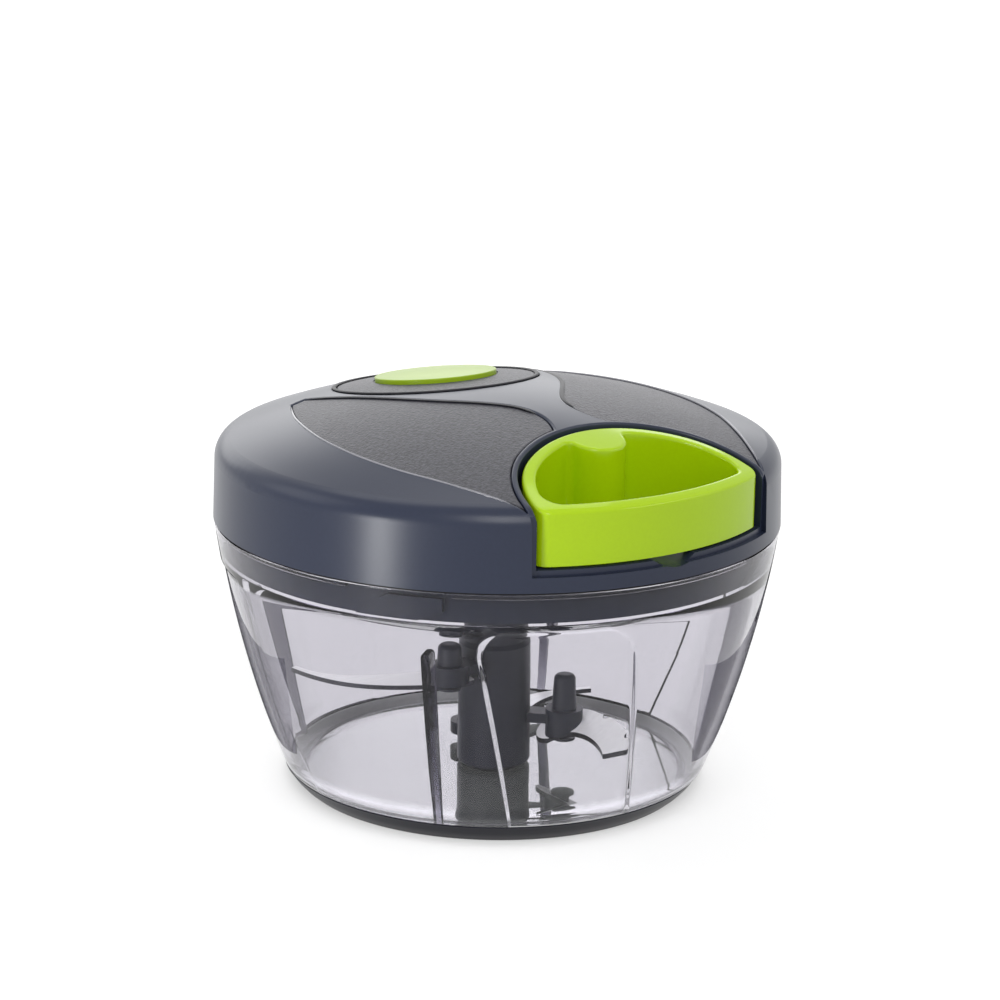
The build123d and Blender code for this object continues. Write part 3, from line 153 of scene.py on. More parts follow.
@dataclass
class EffectLibrary:
    """Builds each shared effect once and places it in materials."""

    groups: dict[Effect, bpy.types.NodeTree] = field(default_factory=dict)

    def place(self, effect: Effect, material: Tree, values: Inputs) -> Node:
        """Place an effect in a material.

        Args:
            effect: Which effect.
            material: Tree of the material.
            values: Values of the group's inputs.

        Returns:
            The group node.
        """
        if effect not in self.groups:
            self.groups[effect] = {
                Effect.GRAIN: self.grain,
                Effect.MOTTLE: self.mottle,
                Effect.BRUSHED: self.brushed,
                Effect.BRAID: self.braid,
            }[effect]()
        return material.add("ShaderNodeGroup", values, node_tree=self.groups[effect])

    @staticmethod
    def start(effect: Effect, inputs: dict[str, float], outputs: Sequence[str]) -> tuple[Tree, Node, Node]:
        """Open a new group, whose inputs and outputs are numbers.

        Args:
            effect: Which effect.
            inputs: Names and defaults of its inputs.
            outputs: Names of its outputs.

        Returns:
            The tree, its input node and its output node.
        """
        group = bpy.data.node_groups.new(effect.value, "ShaderNodeTree")
        for name, value in inputs.items():
            socket = group.interface.new_socket(name, in_out="INPUT", socket_type=NUMBER_SOCKET)
            socket.default_value = value
        for name in outputs:
            group.interface.new_socket(name, in_out="OUTPUT", socket_type=NUMBER_SOCKET)
        tree = Tree(group)
        return tree, tree.add("NodeGroupInput"), tree.add("NodeGroupOutput")

    def grain(self) -> bpy.types.NodeTree:
        """Fine pebbled grain of a textured mould.

        Returns:
            A group with inputs Scale and Contrast, and outputs Height and Mask.
        """
        tree, given, out = self.start(Effect.GRAIN, {"Scale": 2200.0, "Contrast": 0.5}, ("Height", "Mask"))
        scale, contrast = given.outputs["Scale"], given.outputs["Contrast"]
        pebbles = {"Vector": tree.here(), "Scale": scale, "Smoothness": 0.6}
        cells = tree.add("ShaderNodeTexVoronoi", pebbles, feature="SMOOTH_F1").outputs["Distance"]
        noise = tree.noise(tree.maths("MULTIPLY", scale, 0.55), detail=3.0, roughness=0.6)
        height = tree.maths("ADD", cells, tree.maths("MULTIPLY", noise, 0.7))
        centred = tree.maths("SUBTRACT", noise, 0.5)
        mask = tree.maths("ADD", tree.maths("MULTIPLY", centred, contrast), 0.5)
        tree.give(out, {"Height": height, "Mask": mask})
        return tree.tree

    def mottle(self) -> bpy.types.NodeTree:
        """Slow, soft change over a surface, as handling and moulding leave it.

        Returns:
            A group with inputs Scale, Low and High, and outputs Value and Fine.
        """
        defaults = {"Scale": 40.0, "Low": 0.2, "High": 0.3}
        tree, given, out = self.start(Effect.MOTTLE, defaults, ("Value", "Fine"))
        scale = given.outputs["Scale"]
        slow = tree.noise(scale, detail=2.0, roughness=0.45)
        fine = tree.noise(tree.maths("MULTIPLY", scale, 30.0), detail=2.0, roughness=0.5)
        value = tree.spread(slow, given.outputs["Low"], given.outputs["High"])
        tree.give(out, {"Value": value, "Fine": fine})
        return tree.tree

    def brushed(self) -> bpy.types.NodeTree:
        """Grinding lines that run one way over a steel surface.

        Returns:
            A group with inputs Scale and Stretch, and outputs Height and Mask.
        """
        tree, given, out = self.start(Effect.BRUSHED, {"Scale": 900.0, "Stretch": 0.04}, ("Height", "Mask"))
        factors = tree.add("ShaderNodeCombineXYZ", {"X": given.outputs["Stretch"], "Y": 1.0, "Z": 1.0})
        sides = {0: tree.here(), 1: factors.outputs[0]}
        squeezed = tree.add("ShaderNodeVectorMath", sides, operation="MULTIPLY")
        lines = tree.noise(given.outputs["Scale"], detail=4.0, roughness=0.6, where=squeezed.outputs[0])
        tree.give(out, {"Height": lines, "Mask": lines})
        return tree.tree

    def braid(self) -> bpy.types.NodeTree:
        """Crossing yarns of a braided cord.

        Returns:
            A group with input Scale, and outputs Height and Mask.
        """
        tree, given, out = self.start(Effect.BRAID, {"Scale": 1500.0}, ("Height", "Mask"))
        split = tree.add("ShaderNodeSeparateXYZ", {0: tree.here()})
        across = tree.maths("ADD", split.outputs["X"], split.outputs["Z"])
        waves = []
        for sign in (1.0, -1.0):
            run = tree.maths("ADD", split.outputs["Y"], tree.maths("MULTIPLY", across, sign))
            waves.append(tree.maths("SINE", tree.maths("MULTIPLY", run, given.outputs["Scale"])))
        crossed = tree.maths("MAXIMUM", *waves)
        mask = tree.maths("MULTIPLY", tree.maths("ADD", crossed, 1.0), 0.5)
        tree.give(out, {"Height": crossed, "Mask": mask})
        return tree.tree


EFFECTS = EffectLibrary()
FINISHED: dict[str, bpy.types.Material] = {}


def open_material(name: str) -> tuple[Tree, Node]:
    """Start a material.

    Args:
        name: Name of the material.

    Returns:
        Its tree and its Principled shader.
    """
    material = bpy.data.materials.new(f"{name}_finish")
    material.use_nodes = True
    FINISHED[name] = material
    return Tree(material.node_tree), material.node_tree.nodes["Principled BSDF"]


def blend_colours(tree: Tree, mask: Socket, colour: Colour, shade: float) -> Socket:
    """Vary a colour a little either side of its value.

    Args:
        tree: Tree of the material.
        mask: Value from 0 to 1.
        colour: The colour in the middle.
        shade: Share by which it darkens and lightens.

    Returns:
        The colour's socket.
    """
    ramp = tree.add("ShaderNodeValToRGB", {"Fac": mask})
    for stop, position, factor in zip(ramp.color_ramp.elements, (0.25, 0.75), (1 - shade, 1 + shade)):
        stop.position = position
        stop.color = (*(min(1.0, part * factor) for part in colour), 1.0)
    return ramp.outputs["Color"]


def add_relief(tree: Tree, shader: Node, height: Socket, strength: float, depth: float) -> None:
    """Let a height show as relief in a surface.

    Args:
        tree: Tree of the material.
        shader: Its shader.
        height: The height, from 0 to 1.
        strength: Share of the relief that shows.
        depth: Depth of the relief in metres.
    """
    bump = tree.add("ShaderNodeBump", {"Strength": strength, "Distance": depth, "Height": height})
    tree.join(bump.outputs["Normal"], shader.inputs["Normal"])


@dataclass(frozen=True)
class Grain:
    """Settings of a moulded grain."""

    scale: float
    strength: float
    distance: float
    contrast: float


@dataclass(frozen=True)
class Finish:
    """Surface of a piece, whose material is built once."""

    name: str
    colour: Colour
    roughness: Pair
    slot: str

    def material(self) -> bpy.types.Material:
        """Build the material, or give the one that is there.

        Returns:
            The material.
        """
        if self.name not in FINISHED:
            self.fill(*open_material(self.name))
        return FINISHED[self.name]

    def fill(self, tree: Tree, shader: Node) -> None:
        """Set up the shader of the new material, as each kind of finish does in its own way."""
        raise NotImplementedError

    def mottle(self, tree: Tree, shader: Node, scale: float) -> Socket:
        """Let the roughness change softly between its two bounds.

        Args:
            tree: Tree of the material.
            shader: Its shader.
            scale: Scale of the change.

        Returns:
            A finer mask, from 0 to 1.
        """
        low, high = self.roughness
        mottle = EFFECTS.place(Effect.MOTTLE, tree, {"Scale": scale, "Low": low, "High": high})
        tree.join(mottle.outputs["Value"], shader.inputs["Roughness"])
        return mottle.outputs["Fine"]


@dataclass(frozen=True)
class PlasticFinish(Finish):
    """Opaque moulded plastic or rubber."""

    specular: float = 0.5
    shade: float = 0.06
    grain: Grain | None = None
    mottle_scale: float = 45.0
    ripple: Pair = (0.003, 0.05 * MM)

    def fill(self, tree: Tree, shader: Node) -> None:
        """Set up the shader.

        Args:
            tree: Tree of the material.
            shader: Its shader.
        """
        mask = self.mottle(tree, shader, self.mottle_scale)
        if self.grain:
            values = {"Scale": self.grain.scale, "Contrast": self.grain.contrast}
            grain = EFFECTS.place(Effect.GRAIN, tree, values)
            mask = grain.outputs["Mask"]
            add_relief(tree, shader, grain.outputs["Height"], self.grain.strength, self.grain.distance)
        else:
            add_relief(tree, shader, mask, *self.ripple)
        tree.join(self.specular, shader.inputs["Specular IOR Level"])
        tree.join(blend_colours(tree, mask, self.colour, self.shade), shader.inputs["Base Color"])


@dataclass(frozen=True)
class ClearFinish(Finish):
    """Clear moulded plastic, its colour darkened where it is seen edgeways as painted shade."""

    smoke: Colour
    density: float
    ior: float = 1.5
    gleam: float = 0.35
    coat: float = 0.0
    coat_ior: float = 2.0
    edge_shade: float = 0.85
    edge_shade_colour: Colour = (0.1, 0.095, 0.13)
    edge_shade_facing: Pair = (0.42, 0.95)
    shade: float = 0.015
    mottle_scale: float = 30.0

    def fill(self, tree: Tree, shader: Node) -> None:
        """Set up the shader and the smoke inside.

        Args:
            tree: Tree of the material.
            shader: Its shader.
        """
        smoke = tree.add("ShaderNodeVolumeAbsorption", {"Color": (*self.smoke, 1.0), "Density": self.density})
        tree.join(smoke.outputs["Volume"], tree.tree.nodes["Material Output"].inputs["Volume"])
        body = blend_colours(tree, self.mottle(tree, shader, self.mottle_scale), self.colour, self.shade)
        # Painted shade: where the surface is seen edgeways, its colour darkens towards a dark colour.
        facing = tree.add("ShaderNodeLayerWeight", {"Blend": 0.5}).outputs["Facing"]
        first, last = self.edge_shade_facing
        bounds = {"Value": facing, "From Min": first, "From Max": last, "To Max": self.edge_shade}
        share = tree.add("ShaderNodeMapRange", bounds).outputs["Result"]
        colours = {"Factor": share, "A": body, "B": (*self.edge_shade_colour, 1.0)}
        mix = tree.add("ShaderNodeMix", colours, data_type="RGBA")
        values = {
            "Base Color": mix.outputs["Result"],
            "Transmission Weight": 1.0,
            "IOR": self.ior,
            "Specular Tint": (self.gleam, self.gleam, self.gleam, 1.0),
            "Coat Weight": self.coat,
            "Coat IOR": self.coat_ior,
        }
        tree.give(shader, values)


@dataclass(frozen=True)
class SteelFinish(Finish):
    """Bare or blued metal."""

    scale: float = 900.0
    stretch: float = 0.05
    strength: float = 0.12
    depth: float = 0.02 * MM
    metallic: float = 1.0
    shade: float = 0.08

    def fill(self, tree: Tree, shader: Node) -> None:
        """Set up the shader.

        Args:
            tree: Tree of the material.
            shader: Its shader.
        """
        lines = EFFECTS.place(Effect.BRUSHED, tree, {"Scale": self.scale, "Stretch": self.stretch})
        mask = lines.outputs["Mask"]
        add_relief(tree, shader, lines.outputs["Height"], self.strength, self.depth)
        values = {
            "Base Color": blend_colours(tree, mask, self.colour, self.shade),
            "Metallic": self.metallic,
            "Roughness": tree.spread(mask, *self.roughness),
        }
        tree.give(shader, values)


@dataclass(frozen=True)
class FibreFinish(Finish):
    """Braided cord."""

    yarns: float = 6000.0
    relief: Pair = (0.5, 0.15 * MM)
    specular: float = 0.3
    sheen: float = 0.3
    shade: float = 0.25
    mottle_scale: float = 200.0

    def fill(self, tree: Tree, shader: Node) -> None:
        """Set up the shader.

        Args:
            tree: Tree of the material.
            shader: Its shader.
        """
        self.mottle(tree, shader, self.mottle_scale)
        braid = EFFECTS.place(Effect.BRAID, tree, {"Scale": self.yarns})
        add_relief(tree, shader, braid.outputs["Height"], *self.relief)
        values = {
            "Base Color": blend_colours(tree, braid.outputs["Mask"], self.colour, self.shade),
            "Specular IOR Level": self.specular,
            "Sheen Weight": self.sheen,
        }
        tree.give(shader, values)


SLATE_GLOSS = PlasticFinish(
    "slate_gloss", (0.02, 0.026, 0.05), (0.28, 0.32), "slate_gloss", specular=0.32, shade=0.04
)
# Lighter than the slate, as a painted highlight along the pads' outer lips; its gloss catches real highlights
# too.
LIP_PAINTED_HIGHLIGHT = PlasticFinish(
    "lip_painted_highlight", (0.2, 0.2, 0.23), (0.14, 0.18), "slate_gloss", specular=0.7, shade=0.04
)
CAP_GLOSS = PlasticFinish(
    "cap_gloss", (0.29, 0.44, 0.006), (0.26, 0.32), "green_gloss", specular=0.26, shade=0.02
)
SLATE_SATIN = PlasticFinish("slate_satin", (0.013, 0.016, 0.029), (0.3, 0.38), "slate_satin", specular=0.18)
SLATE_GRAIN = PlasticFinish(
    "slate_grain",
    (0.045, 0.045, 0.056),
    (0.42, 0.5),
    "slate_grain",
    specular=0.45,
    grain=Grain(2100.0, 0.6, 0.2 * MM, 1.8),
    shade=0.35,
)
LIME_GLOSS = PlasticFinish(
    "lime_gloss", (0.42, 0.64, 0.002), (0.09, 0.12), "green_gloss", specular=0.3, shade=0.02
)
SHAFT = PlasticFinish(
    "shaft_plastic", (0.011, 0.012, 0.021), (0.34, 0.4), "shaft_plastic", specular=0.3, shade=0.02
)
SOFT_RING = PlasticFinish("soft_ring", (0.008, 0.008, 0.014), (0.3, 0.38), "soft_ring", specular=0.25)
# Pale copy of the ring's rubber: painted light on the bed seen through the clear foot.
RING_BED_PAINTED_LIGHT = PlasticFinish("ring_bed_painted_light", (0.5, 0.51, 0.5), (0.5, 0.6), "soft_ring", specular=0.2)
SEAL = PlasticFinish("seal_rubber", (0.006, 0.006, 0.008), (0.5, 0.6), "seal_rubber", specular=0.2)
# Near black, as painted shade in the grooves beside the pads and the disc.
GROOVE_PAINTED_SHADE = PlasticFinish("painted_groove_shade", (0.006, 0.006, 0.01), (0.4, 0.5), "slate_gloss", specular=0.25)
WORKS = PlasticFinish("works_plastic", (0.74, 0.73, 0.69), (0.35, 0.45), "works_plastic")
CLEAR = ClearFinish(
    "clear_plastic", (0.8, 0.79, 0.825), (0.0, 0.015), "clear_plastic", (0.3, 0.27, 0.4), 25.0
)
CLEAR_FLOOR = ClearFinish(
    "clear_floor",
    (0.38, 0.39, 0.38),
    (0.0, 0.02),
    "clear_plastic",
    (0.3, 0.36, 0.3),
    150.0,
    ior=1.9,
    gleam=0.9,
    coat=0.8,
    edge_shade=0.0,
)
CLEAR_RIB = ClearFinish(
    "clear_rib", (0.8, 0.79, 0.84), (0.01, 0.03), "clear_plastic", (0.2, 0.19, 0.26), 900.0
)
BLADE_STEEL = SteelFinish(
    "blade_steel", (0.93, 0.93, 0.94), (0.28, 0.38), "blade_steel", strength=0.03, metallic=0.2
)
BLADE_EDGE = SteelFinish("blade_edge", (0.045, 0.045, 0.055), (0.25, 0.35), "blade_steel")
SPRING_STEEL = SteelFinish("spring_steel", (0.3, 0.33, 0.38), (0.25, 0.35), "spring_steel")
BRIGHT_STEEL = SteelFinish("bright_steel", (0.62, 0.63, 0.64), (0.2, 0.3), "steel")
CORD = FibreFinish("cord_fibre", (0.78, 0.78, 0.75), (0.65, 0.8), "cord_fibre")


def dress(obj: bpy.types.Object, finish: Finish) -> None:
    """Give an object a finish.

    Args:
        obj: The object.
        finish: The finish for all of it.
    """
    material = finish.material()
    if not obj.material_slots:
        obj.data.materials.append(material)
    for slot in obj.material_slots:
        slot.material = material


def link_object(name: str, data: bpy.types.ID) -> bpy.types.Object:
    """Put a mesh, a camera or a light into the scene as a new object.

    Args:
        name: Name of the object.
        data: What it shows.

    Returns:
        The object.
    """
    obj = bpy.data.objects.new(name, data)
    bpy.context.scene.collection.objects.link(obj)
    return obj


def smooth_step(value: float) -> float:
    """Carry a value softly from 0 to 1."""
    held = min(1.0, max(0.0, value))
    return held * held * (3 - 2 * held)


def round_point(radius: float, angle: float, height: float) -> Point:
    """Give the point at a radius, an angle from -Y towards +X in degrees, and a height, from millimetres."""
    turn = math.radians(angle)
    return (radius * math.sin(turn) * MM, -radius * math.cos(turn) * MM, height * MM)


def level_axes(angle: float) -> tuple[Vector, Vector]:
    """Give the directions of +X and +Y, turned about Z by an angle in degrees."""
    turn = math.radians(angle)
    return Vector((math.cos(turn), math.sin(turn), 0.0)), Vector((-math.sin(turn), math.cos(turn), 0.0))


def tube_faces(rows: int, count: int, closed: bool) -> list[list[int]]:
    """Faces of a tube whose points lie in rows of one length.

    Args:
        rows: Number of rows.
        count: Number of points in a row.
        closed: True where the last row joins the first, False where both ends have a cap.

    Returns:
        The faces.
    """
    last = (rows - 1) * count
    faces = [] if closed else [list(range(count)), list(range(last, last + count))]
    for row in range(rows if closed else rows - 1):
        low, high = row * count, (row + 1) % rows * count
        for side in range(count):
            after = (side + 1) % count
            faces.append([low + side, low + after, high + after, high + side])
    return faces


def make_piece(name: str, shell: Shell, body: str, finish: Finish, crease: float = 32.0) -> bpy.types.Object:
    """Make one piece of the dressed model.

    Args:
        name: Name of the piece.
        shell: Its points in metres and the point numbers of its faces.
        body: Body that it rides on, or an empty string for none.
        finish: Its finish.
        crease: Angle in degrees over which an edge stays sharp.

    Returns:
        The piece.
    """
    points, faces = shell
    mesh = bpy.data.meshes.new(name)
    mesh.from_pydata(points, [], faces)
    work = bmesh.new()
    work.from_mesh(mesh)
    bmesh.ops.recalc_face_normals(work, faces=work.faces)
    work.to_mesh(mesh)
    work.free()
    mesh.shade_smooth()
    mesh.set_sharp_from_angle(angle=math.radians(crease))
    piece = link_object(name, mesh)
    piece.visible_shadow = not isinstance(finish, ClearFinish)
    dress(piece, finish)
    if body:
        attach(piece, body)
    LOG.info("%s: %d faces, %s", name, len(mesh.polygons), finish.name)
    return piece


def revolved(profile: Sequence[Pair], steps: int) -> Shell:
    """Turn a closed outline about the axis.

    Args:
        profile: Radius and height of each point of the outline, in millimetres.
        steps: Number of steps round the axis.

    Returns:
        The points and the faces.
    """
    points: list[Point] = []
    rows: list[list[int]] = []
    for radius, height in profile:
        if radius < ON_AXIS:
            rows.append([len(points)] * steps)
            points.append((0.0, 0.0, height * MM))
            continue
        rows.append(list(range(len(points), len(points) + steps)))
        points.extend(round_point(radius, 360.0 * step / steps, height) for step in range(steps))
    faces = []
    for row, after in zip(rows, rows[1:] + rows[:1]):
        for step in range(steps):
            ring = [row[step], row[(step + 1) % steps], after[(step + 1) % steps], after[step]]
            face = list(dict.fromkeys(ring))
            if len(face) > 2:
                faces.append(face)
    return points, faces


def arc_points(centre: Pair, radius: float, first: float, last: float, count: int) -> list[Pair]:
    """Points of an arc in the plane of radius and height.

    Args:
        centre: Radius and height of its centre.
        radius: Its radius.
        first: Angle of its first point in degrees, from outwards towards up.
        last: Angle of its last point.
        count: Number of points.

    Returns:
        The points.
    """
    turns = [math.radians(first + (last - first) * step / (count - 1)) for step in range(count)]
    return [(centre[0] + radius * math.cos(turn), centre[1] + radius * math.sin(turn)) for turn in turns]


@dataclass
class ClearBowl:
    """Clear bowl: a wall with sunk panels, a floor disc, ribs and the bayonet flange, in millimetres.

    A panel's side edge is given by its place across the panel at panel_foot_z and by its slope.
    """

    rim_radius: float = 62.3
    rim_z: float = 60.2
    rim_bevel: float = 0.35
    foot_radius: float = 47.9
    foot_z: float = 5.4
    foot_step: tuple[Pair, ...] = ((46.7, 4.4), (47.2, 4.5), (47.65, 4.85))
    foot_under: tuple[Pair, ...] = ((42.6, 1.0), (43.9, 1.6), (44.8, 2.5), (45.5, 3.5), (45.9, 4.3))
    bow: float = 1.7
    wall: float = 2.1
    floor_z: float = 3.0
    underside_z: float = 1.0
    floor_round: float = 5.0
    floor_radius: float = 42.0
    floor_gap: float = 0.03
    floor_bevel: float = 0.2
    hub_radius: float = 5.0
    hub_z: float = 0.4
    pin_radius: float = 2.02
    pin_z: float = 0.75
    band_radius: float = 60.1
    band_z: float = 53.0
    band_bevel: float = 0.25
    band_round: Pair = (0.2, 0.05)
    ledge_bevel: float = 0.15
    sectors: int = 4
    panel_angle: float = -19.8
    panel_depth: float = 0.5
    panel_step: float = 1.2
    panel_top: float = 51.5
    panel_corner: float = 6.5
    panel_foot_z: float = 7.5
    panel_left: Pair = (-11.0, -0.2507)
    panel_right: Pair = (16.2, -0.1013)
    rib_angle: float = -51.0
    rib_half: float = 0.95
    rib_top: float = 45.8
    rib_reach: Pair = (44.6, 53.3)
    rib_least: float = 0.25
    rib_round: float = 0.4
    rib_sink: float = 0.03
    flange_angle: float = -11.3
    flange_width: float = 68.0
    flange_inner: float = 58.9
    flange_height: float = 1.3
    flange_bevel: float = 0.3
    flange_sink: float = 0.02

    def build(self) -> None:
        """Build the clear pieces in place of the plain bowl."""
        wall = make_piece("bowl_wall", self.wall_mesh(), "bowl", CLEAR, crease=40.0)
        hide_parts("bowl")
        make_piece("bowl_floor", revolved(self.floor_profile(), steps=144), "bowl", CLEAR_FLOOR)
        for index in range(self.sectors):
            turn = 360.0 * index / self.sectors
            rib, flange = self.rib_mesh(self.rib_angle + turn), self.flange_mesh(self.flange_angle + turn)
            make_piece(f"bowl_rib_{index + 1}", rib, "bowl", CLEAR_RIB, crease=25.0)
            make_piece(f"bowl_flange_{index + 1}", flange, "bowl", CLEAR, crease=25.0)

    def floor_edge(self, side: float) -> list[Pair]:
        """Bevelled edge of the joint between floor and wall.

        Args:
            side: 1 for the wall's edge, -1 for the floor disc's.

        Returns:
            Radius and height of its points, downwards.
        """
        near, far = (self.floor_radius + side * shift for shift in (self.floor_gap, self.floor_bevel))
        top, bottom = self.floor_z - self.floor_bevel, self.underside_z + self.floor_bevel
        return [(far, self.floor_z), (near, top), (near, bottom), (far, self.underside_z)]

    def floor_profile(self) -> list[Pair]:
        """Outline of the floor disc, with the hub below it and the bore for the pivot pin."""
        hub = [(self.hub_radius, self.underside_z), (self.hub_radius - 0.2, self.hub_z), (0.0, self.hub_z)]
        bore = [(0.0, self.pin_z), (self.pin_radius, self.pin_z)]
        return [(self.pin_radius, self.floor_z)] + self.floor_edge(-1.0) + hub + bore

    def radius(self, height: float) -> float:
        """Outer radius of the bowed wall.

        Args:
            height: Height in millimetres.

        Returns:
            The radius.
        """
        run, rise = self.rim_radius - self.foot_radius, self.rim_z - self.foot_z
        chord = math.hypot(run, rise)
        bend = (chord * chord / 4 + self.bow**2) / (2 * self.bow)
        centre_r = (self.rim_radius + self.foot_radius) / 2 - (bend - self.bow) * rise / chord
        centre_z = (self.rim_z + self.foot_z) / 2 + (bend - self.bow) * run / chord
        return centre_r + math.sqrt(bend**2 - (height - centre_z) ** 2)

    def panel_sides(self, height: float) -> list[float]:
        """Places of a panel's two side edges across the wall at a height."""
        rise = height - self.panel_foot_z
        return [place + slope * rise for place, slope in (self.panel_left, self.panel_right)]

    def depth(self, across: float, height: float) -> float:
        """How far the panel sinks into the wall at a point.

        Args:
            across: Place across the panel.
            height: Height of the point.

        Returns:
            The depth in millimetres.
        """
        left, right = self.panel_sides(height)
        side, top = min(across - left, right - across), self.panel_top - height
        corner = self.panel_corner
        if side < corner and top < corner:
            inside = corner - math.hypot(corner - side, corner - top)
        else:
            inside = min(side, top)
        return self.panel_depth * smooth_step(inside / self.panel_step + 0.5)

    def columns(self, height: float) -> list[tuple[float, float | None]]:
        """Angle of each column of the wall at a height, and its place across its panel.

        The columns lie closest where a panel's side edge steps.

        Args:
            height: Height in millimetres.

        Returns:
            For each column all the way round, its angle in degrees and its place across the panel, or None
            between panels.
        """
        radius, pitch = self.radius(height), 360.0 / self.sectors
        left, right = self.panel_sides(height)
        fringe, corner_steps, middle_steps, plain_steps = 0.8, 14, 9, 18
        near = [-fringe, *(step / 10 for step in range(-5, 6)), fringe]
        bend = self.panel_corner - fringe
        near += [fringe + bend * step / corner_steps for step in range(1, corner_steps + 1)]
        marks = [left + shift for shift in near]
        low, high = left + self.panel_corner, right - self.panel_corner
        marks += [low + (high - low) * step / middle_steps for step in range(1, middle_steps)]
        marks += [right - shift for shift in reversed(near)]
        turns: list[tuple[float, float | None]] = [(math.degrees(math.asin(m / radius)), m) for m in marks]
        first, last = turns[0][0] + pitch, turns[-1][0]
        turns += [(last + (first - last) * step / plain_steps, None) for step in range(1, plain_steps)]
        starts = [self.panel_angle + pitch * index for index in range(self.sectors)]
        return [(start + turn, mark) for start in starts for turn, mark in turns]

    def inner_profile(self) -> list[Pair]:
        """Radius and height of the wall's inside from the rim to the floor."""
        band, bevel, ledge = self.band_radius, self.band_bevel, self.radius(self.band_z) - self.wall
        reach, rise = self.band_round
        points = [(self.rim_radius - self.rim_bevel, self.rim_z), (band + bevel, self.rim_z)]
        points += [(band, self.rim_z - bevel), (band, self.band_z + bevel)]
        points += [(band - reach, self.band_z + rise), (ledge + self.ledge_bevel, self.band_z)]
        heights = [self.band_z - self.ledge_bevel, 50.0, 45.0, 40.0, 35.0, 30.0, 25.0, 20.0, 16.0, 12.0, 9.5]
        points += [(self.radius(height) - self.wall, height) for height in heights]
        top = self.floor_z + self.floor_round
        centre = (self.radius(top) - self.wall - self.floor_round, top)
        return points + arc_points(centre, self.floor_round, 0.0, -90.0, 12)

    def wall_mesh(self) -> Shell:
        """Points and faces of the whole wall, outside and inside, down to the floor's edge.

        The rows of the outside lie closest where a panel's top edge steps.

        Returns:
            The points and the faces.
        """
        heights = [self.foot_z, 7.0, 9.8]
        for first, pitch, steps in ((12.4, 2.6, 12), (43.0, 0.45, 18), (50.95, 0.11, 11)):
            heights += [first + pitch * step for step in range(steps)]
        heights += [52.6, 54.0, 56.0, 58.0, 59.6]
        outside = [*self.foot_step, *((self.radius(height), height) for height in heights)]
        plain = [(self.rim_radius - 0.1, self.rim_z - 0.15), *self.inner_profile()]
        plain += [*self.floor_edge(1.0), *self.foot_under]
        points: list[Point] = []
        for row, (radius, height) in enumerate(outside + plain):
            sunk = row < len(outside)
            for angle, across in self.columns(min(self.rim_z, max(self.foot_z, height))):
                cut = self.depth(across, height) if sunk and across is not None else 0.0
                points.append(round_point(radius - cut, angle, height))
        rows = len(outside) + len(plain)
        return points, tube_faces(rows, len(points) // rows, closed=True)

    def rib_mesh(self, angle: float) -> Shell:
        """Points and faces of one rib.

        Args:
            angle: Place of the rib round the axis in degrees.

        Returns:
            The points and the faces.
        """
        top, (foot_reach, top_reach) = self.floor_z + self.floor_round, self.rib_reach
        heights = [4.6, 5.4, 6.4, 8.0, 12.0, 18.0, 24.0, 30.0, 36.0, 42.0, 45.2, self.rib_top]
        side, back = level_axes(angle)
        length = self.rib_top - self.floor_z
        points: list[Point] = []
        for height in heights:
            wall = self.radius(max(height, top)) - self.wall
            if height < top:
                wall += math.sqrt(self.floor_round**2 - (top - height) ** 2) - self.floor_round
            inner = foot_reach + (top_reach - foot_reach) * (height - self.floor_z) / length
            ease = self.rib_least if height == self.rib_top else 0.0
            inner = min(inner + ease, wall - self.rib_least)
            half = self.rib_half - ease
            bevel = min(self.rib_round, (wall - inner) * 0.4)
            near = [(wall - self.rib_sink, half), (inner + bevel, half), (inner, half - self.rib_round)]
            for reach, shift in near + [(reach, -shift) for reach, shift in reversed(near)]:
                points.append(tuple((side * shift - back * reach + UP * height) * MM))
        return points, tube_faces(len(heights), 2 * len(near), closed=False)

    def flange_mesh(self, angle: float) -> Shell:
        """Points and faces of one part of the bayonet flange.

        Args:
            angle: Middle of the part in degrees.

        Returns:
            The points and the faces.
        """
        outer, inner, bevel = self.band_radius - self.flange_sink, self.flange_inner, self.flange_bevel
        low, high, steps = self.rim_z - self.flange_height, self.rim_z, 24
        section = [(outer, low), (outer, high), (inner + bevel, high)]
        section += [(inner, high - bevel), (inner, low + bevel), (inner + bevel, low)]
        turns = [angle + self.flange_width * (step / steps - 0.5) for step in range(steps + 1)]
        points = [round_point(radius, turn, height) for turn in turns for radius, height in section]
        return points, tube_faces(steps + 1, len(section), closed=False)


